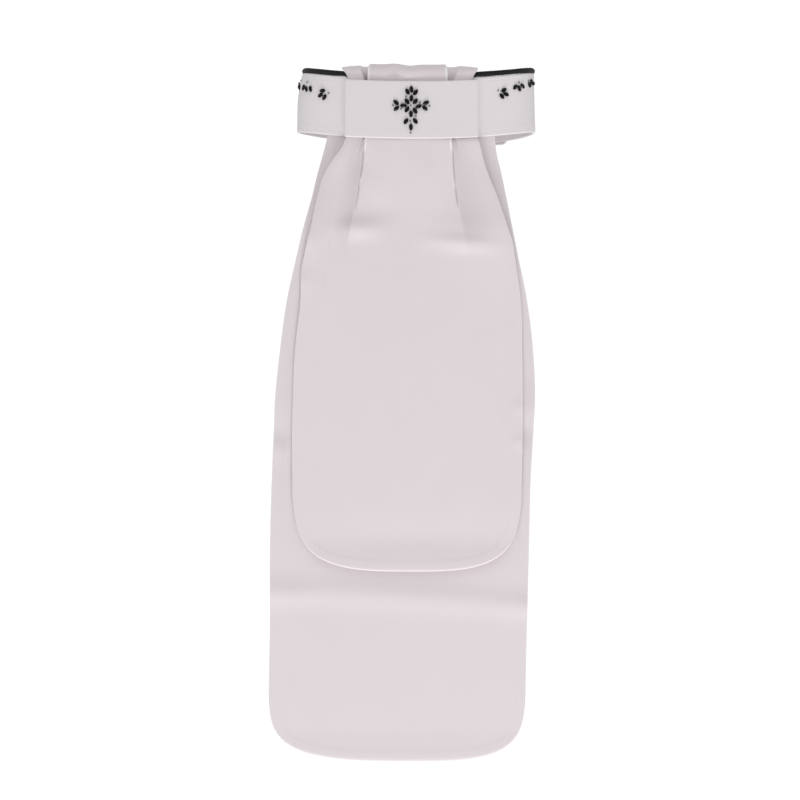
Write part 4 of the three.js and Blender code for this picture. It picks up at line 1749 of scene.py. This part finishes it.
@dataclass
class FrontPanel:
    """The strip sewn over the tie at the throat: proud of the band, with crisp turned edges."""

    tie: Tie
    sag: float = 0.14 * MM
    crease_in: float = 0.4 * MM
    along_steps: int = 120
    up_steps: int = 60

    def profile(self) -> tuple[Array, Array]:
        """Section across the panel's middle surface, from one sewn edge to the other.

        Returns:
            Places along the band and distances outwards.
        """
        tie = self.tie
        corner = tie.panel_corner
        half_wall = tie.panel_wall / 2
        radius = corner - half_wall
        reach = tie.panel_half_width - half_wall
        top = tie.panel_out - half_wall
        foot = np.linspace(tie.gap, top - radius, 8)[:-1]
        turn = np.linspace(0, np.pi / 2, 10)
        bend_x = reach - radius + radius * np.cos(turn)
        bend_out = top - radius + radius * np.sin(turn)
        side_x = np.concatenate([np.full(len(foot), reach), bend_x])
        side_out = np.concatenate([foot, bend_out])
        flat = np.linspace(-(reach - radius), reach - radius, self.along_steps)[1:-1]
        sag = self.sag * np.sin(1.5 * np.pi * (flat / reach + 1))
        x = np.concatenate([-side_x, flat, side_x[::-1]])
        out = np.concatenate([side_out, top + sag, side_out[::-1]])
        return tie.centre + x, out

    def build(self, cloth: bpy.types.Material) -> bpy.types.Object:
        """Builds the panel.

        Args:
            cloth: its material.

        Returns:
            The finished piece.
        """
        tie, loop = self.tie, self.tie.loop
        along, out = self.profile()
        run = np.concatenate([[0.0], np.cumsum(np.hypot(np.diff(along), np.diff(out)))])
        up_share = crowded(self.up_steps)[:, None]
        up = mix(tie.panel_bottom, tie.panel_top, up_share)
        points = loop.place(along[None, :] + 0 * up, up, out[None, :] + 0 * up)
        flat = np.stack([run[None, :] + 0 * up, up + 0 * run[None, :]], axis=-1)
        edge = np.minimum(up - tie.panel_bottom, tie.panel_top - up) + 0 * run[None, :]
        thickness = Hem(wall=tie.panel_wall, allowance=6 * MM, extra=0.12 * MM).thickness(edge)
        # The panel's turned edges and side creases get the cloth's painted highlight
        crease = tie.panel_half_width - self.crease_in
        corner = np.abs(crease - np.abs(along - tie.centre)) + 0 * up
        rim = np.minimum(edge, corner)
        piece = closed_sheet("front_panel_cloth", points, thickness, flat, rim)
        piece.data.materials.append(cloth)
        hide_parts("front_panel")
        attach(piece, "root")
        return piece


def new_tree(name: str) -> bpy.types.NodeTree:
    """Starts a geometry tree whose first input and output are the geometry.

    Args:
        name: the tree's name.

    Returns:
        The tree, with its input and output node.
    """
    tree = bpy.data.node_groups.new(name, "GeometryNodeTree")
    tree.interface.new_socket("Geometry", in_out="OUTPUT", socket_type="NodeSocketGeometry")
    tree.interface.new_socket("Geometry", in_out="INPUT", socket_type="NodeSocketGeometry")
    add_node(tree, "NodeGroupInput")
    add_node(tree, "NodeGroupOutput")
    return tree


def carried_way(tree: bpy.types.NodeTree, name: str) -> bpy.types.NodeSocket:
    """Reads the unit vectors that a carrier holds under a name."""
    kind, settings = "GeometryNodeInputNamedAttribute", {"data_type": "FLOAT_VECTOR"}
    return add_node(tree, kind, settings, {"Name": name}).outputs["Attribute"]


def finish_tree(
    tree: bpy.types.NodeTree, laid: bpy.types.Node, finish: bpy.types.NodeSocket
) -> None:
    """Makes a tree's instances real, gives them their finish and sends them out.

    Args:
        tree: the geometry tree.
        laid: the node that lays the instances.
        finish: the socket that gives the material.
    """
    real = add_node(
        tree, "GeometryNodeRealizeInstances", inputs={"Geometry": laid.outputs["Instances"]}
    )
    dressed = add_node(
        tree,
        "GeometryNodeSetMaterial",
        inputs={"Geometry": real.outputs["Geometry"], "Material": finish},
    )
    tree.links.new(dressed.outputs["Geometry"], tree.nodes["Group Output"].inputs["Geometry"])


def plain_mesh(carrier: bpy.types.Object, name: str) -> bpy.types.Object:
    """Turns what a carrier's modifier makes into a plain mesh, and takes the carrier away.

    Args:
        carrier: the object with the modifier.
        name: the new piece's name.

    Returns:
        The plain piece, at the origin.
    """
    depsgraph = bpy.context.evaluated_depsgraph_get()
    mesh = bpy.data.meshes.new_from_object(carrier.evaluated_get(depsgraph))
    mesh.name = name
    piece = bpy.data.objects.new(name, mesh)
    bpy.context.scene.collection.objects.link(piece)
    bpy.data.objects.remove(carrier, do_unlink=True)
    return piece


def seat_carrier(name: str, points: Array, edges: list, ways: dict[str, Array]) -> bpy.types.Object:
    """Makes a bare mesh of points or lines that carries directions.

    Args:
        name: the carrier's name.
        points: its vertices.
        edges: pairs of vertices.
        ways: a unit vector for each vertex, by attribute name.

    Returns:
        The carrier.
    """
    mesh = bpy.data.meshes.new(name)
    mesh.from_pydata(points.tolist(), edges, [])
    for way_name, way in ways.items():
        layer = mesh.attributes.new(way_name, "FLOAT_VECTOR", "POINT")
        layer.data.foreach_set("vector", way.astype(np.float32).reshape(-1))
    carrier = bpy.data.objects.new(name, mesh)
    bpy.context.scene.collection.objects.link(carrier)
    return carrier


@dataclass(frozen=True)
class StitchRow:
    """Rows of lock stitch: short threads, each dipping into the cloth at its ends."""

    length: float = 1.6 * MM
    space: float = 0.8 * MM
    thread_radius: float = 0.24 * MM

    def tree(self) -> bpy.types.NodeTree:
        """Builds the tree that lays stitches along lines.

        Returns:
            The tree, with its sizes as named inputs.
        """
        tree = new_tree("stitches_along_lines")
        for name in ("Stitch Pitch", "Stitch Length", "Thread Radius"):
            tree.interface.new_socket(name, in_out="INPUT", socket_type="NodeSocketFloat")
        tree.interface.new_socket("Finish", in_out="INPUT", socket_type="NodeSocketMaterial")
        given = tree.nodes["Group Input"].outputs
        curve = add_node(tree, "GeometryNodeMeshToCurve", inputs={"Mesh": given["Geometry"]})
        even = add_node(
            tree,
            "GeometryNodeResampleCurve",
            {"mode": "LENGTH"},
            {"Curve": curve.outputs["Curve"], "Length": given["Stitch Pitch"]},
        )
        run = add_node(tree, "GeometryNodeInputTangent")
        turned = add_node(
            tree,
            "FunctionNodeAxesToRotation",
            {"primary_axis": "X", "secondary_axis": "Z"},
            {
                "Primary Axis": run.outputs["Tangent"],
                "Secondary Axis": carried_way(tree, "outward"),
            },
        )
        half = add_node(
            tree, "ShaderNodeMath", {"operation": "MULTIPLY"}, {0: given["Stitch Length"], 1: 0.5}
        )
        size = add_node(
            tree,
            "ShaderNodeCombineXYZ",
            inputs={
                "X": half.outputs["Value"],
                "Y": given["Thread Radius"],
                "Z": given["Thread Radius"],
            },
        )
        thread = add_node(
            tree, "GeometryNodeMeshUVSphere", inputs={"Segments": 6, "Rings": 5, "Radius": 1.0}
        )
        laid = add_node(
            tree,
            "GeometryNodeInstanceOnPoints",
            inputs={
                "Points": even.outputs["Curve"],
                "Instance": thread.outputs["Mesh"],
                "Rotation": turned.outputs["Rotation"],
                "Scale": size.outputs["Vector"],
            },
        )
        finish_tree(tree, laid, given["Finish"])
        return tree

    def sew(
        self, name: str, paths: list[tuple[Array, Array]], thread: bpy.types.Material
    ) -> bpy.types.Object:
        """Sews stitches along lines.

        Args:
            name: the piece's name.
            paths: points and outward ways of each line.
            thread: the thread's material.

        Returns:
            The finished piece.
        """
        points = np.concatenate([path[0] for path in paths])
        ways = np.concatenate([path[1] for path in paths])
        edges, start = [], 0
        for path, _ in paths:
            edges += [(start + step, start + step + 1) for step in range(len(path) - 1)]
            start += len(path)
        carrier = seat_carrier(name + "_lines", points, edges, {"outward": ways})
        tree = self.tree()
        values = {
            "Stitch Pitch": self.length + self.space,
            "Stitch Length": self.length,
            "Thread Radius": self.thread_radius,
            "Finish": thread,
        }
        set_modifier(carrier, tree, values)
        piece = plain_mesh(carrier, name)
        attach(piece, "root")
        return piece


def set_modifier(carrier: bpy.types.Object, tree: bpy.types.NodeTree, values: dict) -> None:
    """Puts a geometry tree on a carrier and sets its named inputs.

    Args:
        carrier: the object that gets the modifier.
        tree: the geometry tree.
        values: the inputs' values by name.
    """
    modifier = carrier.modifiers.new(tree.name, "NODES")
    modifier.node_group = tree
    for item in tree.interface.items_tree:
        if item.item_type == "SOCKET" and item.in_out == "INPUT" and item.name in values:
            modifier[item.identifier] = values[item.name]


@dataclass(frozen=True)
class Seat:
    """A stone's place along, up and out from the band's face, and its lean in degrees."""

    along: float
    up: float
    out: float
    lean: float = 0.0


@dataclass(frozen=True)
class StoneCut:
    """A cut stone on a flat back: rings of facets between the girdle and the table."""

    length: float
    width: float
    height: float
    corners: int
    point: float
    tiers: tuple[tuple[float, float], ...]

    def outline(self) -> Array:
        """Outline of the girdle, as points round the stone.

        Returns:
            The outline's points.
        """
        turn = 2 * np.pi * np.arange(self.corners) / self.corners
        along = np.cos(turn)
        side = np.sin(turn)
        side = np.sign(side) * np.abs(side) ** (2 * self.point)
        return np.stack([side * self.width / 2, along * self.length / 2], axis=-1)

    def build(self) -> bpy.types.Object:
        """Builds one stone, standing on the origin.

        Returns:
            The stone, to be set by a tree.
        """
        outline = self.outline()
        rings = [
            np.column_stack([outline * share, np.full(self.corners, self.height * level)])
            for share, level in self.tiers
        ]
        points = np.concatenate(rings)
        faces, count = [], self.corners
        for ring in range(len(rings) - 1):
            for step in range(count):
                a, b = ring * count + step, ring * count + (step + 1) % count
                faces.append([a, b, b + count, a + count])
        faces.append(list(range(count))[::-1])
        faces.append([len(points) - count + step for step in range(count)])
        mesh = bpy.data.meshes.new("stone_cut")
        mesh.from_pydata(points.tolist(), [], faces)
        mesh.update()
        stone = bpy.data.objects.new("stone_cut", mesh)
        bpy.context.scene.collection.objects.link(stone)
        return stone


@dataclass(frozen=True)
class StoneField:
    """Stones of one cut and finish, set on the cloth."""

    name: str
    cut: StoneCut
    slot: str
    nodes: tuple[str, ...]
    seats: tuple[Seat, ...]

    def tree(self) -> bpy.types.NodeTree:
        """Builds the tree that sets a stone on every seat.

        Returns:
            The tree, with the stone and its finish as named inputs.
        """
        tree = new_tree("stones_on_seats")
        tree.interface.new_socket("Stone", in_out="INPUT", socket_type="NodeSocketObject")
        tree.interface.new_socket("Finish", in_out="INPUT", socket_type="NodeSocketMaterial")
        given = tree.nodes["Group Input"].outputs
        turned = add_node(
            tree,
            "FunctionNodeAxesToRotation",
            {"primary_axis": "Z", "secondary_axis": "Y"},
            {
                "Primary Axis": carried_way(tree, "outward"),
                "Secondary Axis": carried_way(tree, "upward"),
            },
        )
        stone = add_node(tree, "GeometryNodeObjectInfo", inputs={"Object": given["Stone"]})
        points = add_node(tree, "GeometryNodeMeshToPoints", inputs={"Mesh": given["Geometry"]})
        laid = add_node(
            tree,
            "GeometryNodeInstanceOnPoints",
            inputs={
                "Points": points.outputs["Points"],
                "Instance": stone.outputs["Geometry"],
                "Rotation": turned.outputs["Rotation"],
            },
        )
        finish_tree(tree, laid, given["Finish"])
        return tree

    def set_stones(self, loop: NeckLoop, crystal: bpy.types.Material) -> bpy.types.Object:
        """Sets the stones.

        Args:
            loop: the band's loop.
            crystal: the stones' material.

        Returns:
            The finished piece.
        """
        along = np.array([seat.along for seat in self.seats])
        up = np.array([seat.up for seat in self.seats])
        out = np.array([seat.out for seat in self.seats])
        points = loop.place(along, up, out)
        outward = loop.outward(along)
        lean = np.radians([seat.lean for seat in self.seats])
        level = np.stack([-outward[:, 1], outward[:, 0], 0 * along], axis=-1)
        upward = np.cos(lean)[:, None] * np.array([0.0, 0.0, 1.0]) + np.sin(lean)[:, None] * level
        stone = self.cut.build()
        ways = {"outward": outward, "upward": upward}
        carrier = seat_carrier(self.name + "_seats", points, [], ways)
        set_modifier(carrier, self.tree(), {"Stone": stone, "Finish": crystal})
        piece = plain_mesh(carrier, self.name)
        bpy.data.objects.remove(stone, do_unlink=True)
        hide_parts(*self.nodes)
        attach(piece, "root")
        return piece


NAVETTE = StoneCut(
    4.2 * MM,
    2.5 * MM,
    1.15 * MM,
    12,
    0.62,
    ((0.94, 0.0), (1.0, 0.2), (1.0, 0.3), (0.82, 0.68), (0.45, 0.94), (0.3, 1.0)),
)
ROUND = StoneCut(
    1.2 * MM,
    1.2 * MM,
    0.65 * MM,
    8,
    0.5,
    ((0.85, 0.0), (1.0, 0.35), (1.0, 0.5), (0.72, 0.85), (0.42, 1.0)),
)

# Places from the cross's middle in stone lengths, and lean from upright in degrees
CROSS_STONES = [
    (0.09, 2.32, -8.0),
    (-0.47, 1.98, -28.0),
    (0.67, 1.87, 37.0),
    (0.08, 1.04, 5.0),
    (-0.52, 0.58, -38.0),
    (0.63, 0.58, 40.0),
    (-1.03, 0.0, -88.0),
    (1.1, -0.13, 66.0),
    (-0.53, -0.55, 35.0),
    (0.59, -0.75, -32.0),
    (0.02, -1.21, 0.0),
    (-0.67, -2.25, 34.0),
    (0.63, -2.22, -36.0),
    (0.02, -3.09, 0.0),
    (-2.05, 0.42, -50.0),
    (-2.0, -0.41, 48.0),
    (2.14, 0.38, 63.0),
    (1.97, -0.37, -48.0),
]
CROSS_ROUNDS = [
    (0.0, 0.0),
    (-0.1, -2.21),
    (-0.02, -3.9),
    (1.29, 0.44),
    (-1.35, -0.45),
    (-0.67, 1.29),
    (0.7, -1.47),
    (2.6, -0.06),
    (-2.5, 0.02),
]

# Stones of each sprig: shares of the quarter loop and of the way up, and outward lean in degrees
SPRIG_STONES = {
    "left": [
        (1, "upper", 0.595, 0.461, 93.0),
        (1, "middle", 0.609, 0.305, 118.0),
        (1, "lower", 0.577, 0.25, 143.0),
        (2, "upper", 0.701, 0.485, 14.0),
        (2, "middle", 0.747, 0.471, 25.0),
        (2, "lower", 0.788, 0.513, -34.0),
        (3, "upper", 0.885, 0.53, 20.0),
        (3, "middle", 0.925, 0.64, 60.0),
        (3, "lower", 0.96, 0.56, 107.0),
    ],
    "right": [
        (1, "upper", 0.607, 0.5, 64.0),
        (1, "middle", 0.623, 0.354, 109.0),
        (1, "lower", 0.592, 0.301, 134.0),
        (2, "upper", 0.696, 0.567, 48.0),
        (2, "middle", 0.73, 0.514, -28.0),
        (2, "lower", 0.761, 0.582, -53.0),
        (3, "upper", 0.842, 0.609, -36.0),
        (3, "middle", 0.874, 0.7, -34.0),
        (3, "lower", 0.912, 0.644, 69.0),
    ],
}
SPRIG_ROUNDS = {
    "left": [(1, 0.548, 0.403), (2, 0.748, 0.711), (3, 0.88, 0.75)],
    "right": [(1, 0.567, 0.502), (2, 0.729, 0.713), (3, 0.83, 0.748)],
}


@dataclass
class Ornament:
    """The cross of stones on the panel and the sprigs along the band."""

    tie: Tie
    motif_up: float = 1.35 * MM
    motif_aside: float = -0.36 * MM
    seat: float = 0.12 * MM

    def fields(self) -> list[StoneField]:
        """Lists the stones by cut and place.

        Returns:
            The four fields of stones.
        """
        loop, centre, length = self.tie.loop, self.tie.centre, NAVETTE.length
        middle, panel = centre + self.motif_aside, self.tie.panel_out + self.seat
        cross = [
            Seat(middle + across * length, self.motif_up + up * length, panel, lean)
            for across, up, lean in CROSS_STONES
        ]
        rounds = [
            Seat(middle + across * length, self.motif_up + up * length, panel)
            for across, up in CROSS_ROUNDS
        ]
        leaves, buds, leaf_names, bud_names = [], [], [], []
        for side_name, side in (("left", -1), ("right", 1)):
            for sprig, name, along, up, lean in SPRIG_STONES[side_name]:
                place = (centre + side * along * loop.length / 4, up * loop.top)
                leaves.append(Seat(*place, self.seat, side * lean))
                leaf_names.append(f"sprig_{side_name}_{sprig}_{name}")
            for sprig, along, up in SPRIG_ROUNDS[side_name]:
                place = (centre + side * along * loop.length / 4, up * loop.top)
                buds.append(Seat(*place, self.seat))
                bud_names.append(f"sprig_{side_name}_{sprig}_bead")
        cross_names = [f"cross_stone_{index + 1}" for index in range(len(cross))]
        round_names = [f"cross_bead_{index + 1}" for index in range(len(rounds))]
        return [
            StoneField("cross_crystals", NAVETTE, "jet_stone", tuple(cross_names), tuple(cross)),
            StoneField("cross_rounds", ROUND, "smoke_stone", tuple(round_names), tuple(rounds)),
            StoneField("sprig_crystals", NAVETTE, "jet_stone", tuple(leaf_names), tuple(leaves)),
            StoneField("sprig_rounds", ROUND, "smoke_stone", tuple(bud_names), tuple(buds)),
        ]


@dataclass(frozen=True)
class SoftLight:
    """A square soft light: where it stands, what it faces, its side and its power in watts."""

    name: str
    place: tuple[float, float, float]
    target: tuple[float, float, float]
    side: float
    watts: float

    def build(self) -> None:
        """Adds the light to the scene."""
        data = bpy.data.lights.new(self.name, "AREA")
        data.size = self.side
        data.energy = self.watts
        lamp = bpy.data.objects.new(self.name, data)
        lamp.location = self.place
        way = Vector(self.target) - Vector(self.place)
        lamp.rotation_euler = way.to_track_quat("-Z", "Y").to_euler()
        bpy.context.scene.collection.objects.link(lamp)


# A steep soft key from below, faint fills all round and two small lamps for the stones' glints
LIGHTS = (
    SoftLight("key", (0.05, -1.5, -2.9), (0.0, -0.05, -0.2), 1.2, 37.0),
    SoftLight("top", (0.0, -1.0, 1.6), (0.0, 0.0, -0.1), 1.5, 5.5),
    SoftLight("left_fill", (-2.4, -0.6, -0.2), (0.0, 0.0, -0.2), 1.2, 9.0),
    SoftLight("right_fill", (2.4, -0.6, -0.2), (0.0, 0.0, -0.2), 1.2, 10.0),
    SoftLight("glint", (0.5, -1.4, -1.9), (0.0, -0.05, 0.0), 0.14, 4.5),
    SoftLight("left_glint", (-0.8, -1.5, -1.5), (0.0, -0.05, 0.0), 0.12, 2.0),
)


@dataclass
class Studio:
    """Camera, soft lights, pale floor and a plain white surround."""

    photo_side: int = 800
    metres_a_pixel: float = 0.6 * MM
    origin_pixel: tuple[float, float] = (416.5, 102.0)
    front_plane: float = -0.05
    camera_y: float = -2.7
    sensor: float = 36.0
    floor_height: float = -3.2
    floor_half: float = 24.0
    view_end: float = 60.0
    # Strength of the white surround as light, and as the backdrop that the camera sees
    ambient: float = 0.555
    backdrop: float = 1.05

    def camera(self) -> bpy.types.Object:
        """Sets the camera level, at the photograph's angle.

        Returns:
            The camera.
        """
        middle = self.photo_side / 2
        x = (middle - self.origin_pixel[0]) * self.metres_a_pixel
        z = (self.origin_pixel[1] - middle) * self.metres_a_pixel
        view_width = self.photo_side * self.metres_a_pixel
        data = bpy.data.cameras.new("camera")
        data.sensor_width = self.sensor
        data.lens = self.sensor * (self.front_plane - self.camera_y) / view_width
        data.clip_end = self.view_end
        camera = bpy.data.objects.new("camera", data)
        camera.location = (x, self.camera_y, z)
        camera.rotation_euler = (math.pi / 2, 0.0, 0.0)
        bpy.context.scene.collection.objects.link(camera)
        bpy.context.scene.camera = camera
        return camera

    def surround(self) -> None:
        """Lights the scene from all round, and shows plain white behind the object."""
        world = bpy.data.worlds.new("white_surround")
        world.use_nodes = True
        tree = world.node_tree
        tree.nodes.clear()
        white = (1, 1, 1, 1)
        soft, seen = (
            add_node(tree, "ShaderNodeBackground", inputs={"Color": white, "Strength": strength})
            for strength in (self.ambient, self.backdrop)
        )
        path = add_node(tree, "ShaderNodeLightPath")
        both = add_node(
            tree,
            "ShaderNodeMixShader",
            inputs={0: path.outputs["Is Camera Ray"], 1: soft.outputs[0], 2: seen.outputs[0]},
        )
        add_node(tree, "ShaderNodeOutputWorld", inputs={"Surface": both.outputs[0]})
        bpy.context.scene.world = world

    def floor(self) -> None:
        """Lays the pale floor well below the hanging object."""
        half, z = self.floor_half, self.floor_height
        mesh = bpy.data.meshes.new("floor")
        corners = [(-half, -half, z), (half, -half, z), (half, half, z), (-half, half, z)]
        mesh.from_pydata(corners, [], [(0, 1, 2, 3)])
        floor = bpy.data.objects.new("floor", mesh)
        bpy.context.scene.collection.objects.link(floor)
        material, tree = new_material("matt_white_paper")
        shader = add_node(
            tree,
            "ShaderNodeBsdfPrincipled",
            inputs={"Base Color": linear_colour("#f7f7f7"), "Roughness": 0.9},
        )
        finish_material(tree, shader)
        mesh.materials.append(material)

    def build(self) -> None:
        """Sets the whole studio."""
        self.camera()
        self.surround()
        self.floor()
        for light in LIGHTS:
            light.build()
        bpy.context.scene.view_settings.view_transform = "Standard"


def main() -> None:
    """Builds the studio and every piece of the neck stock, in order."""
    logging.basicConfig(level=logging.INFO, format="%(name)s: %(message)s")
    Studio().build()
    loop = NeckLoop()
    tie = Tie(loop)
    cotton = WovenCotton().material()
    band_cotton = WovenCotton(
        name="combed_cotton_woven_band",
        colour="#e9e3e4",
        thread_colour="#e2dcde",
        rib_depth=0.05 * MM,
    ).material()
    thread = SewingThread().material()
    band = CollarBand(tie)
    # An IOR below real crystal's keeps the small dark stones from greying in the white surround
    jet = CutCrystal("jet_crystal_cut", "#060507", "#020203", ior=1.32).material()
    smoke = CutCrystal("smoke_crystal_cut", "#8c8f8a", "#5c605d").material()
    pieces = [
        band.build(band_cotton),
        band.piping(CoveredCord().material()),
        band.patch(LoopTape().material()),
        FrontPanel(tie).build(band_cotton),
        FrontTail(tie).build(cotton),
        BackTail(tie).build(cotton),
        StitchRow().sew("band_stitches", band.stitch_paths(), thread),
    ]
    for stones in Ornament(tie).fields():
        pieces.append(stones.set_stones(loop, jet if stones.slot == "jet_stone" else smoke))
    for piece in pieces:
        log.info("%s: %d faces", piece.name, len(piece.data.polygons))


if __name__ == "__main__":
    main()
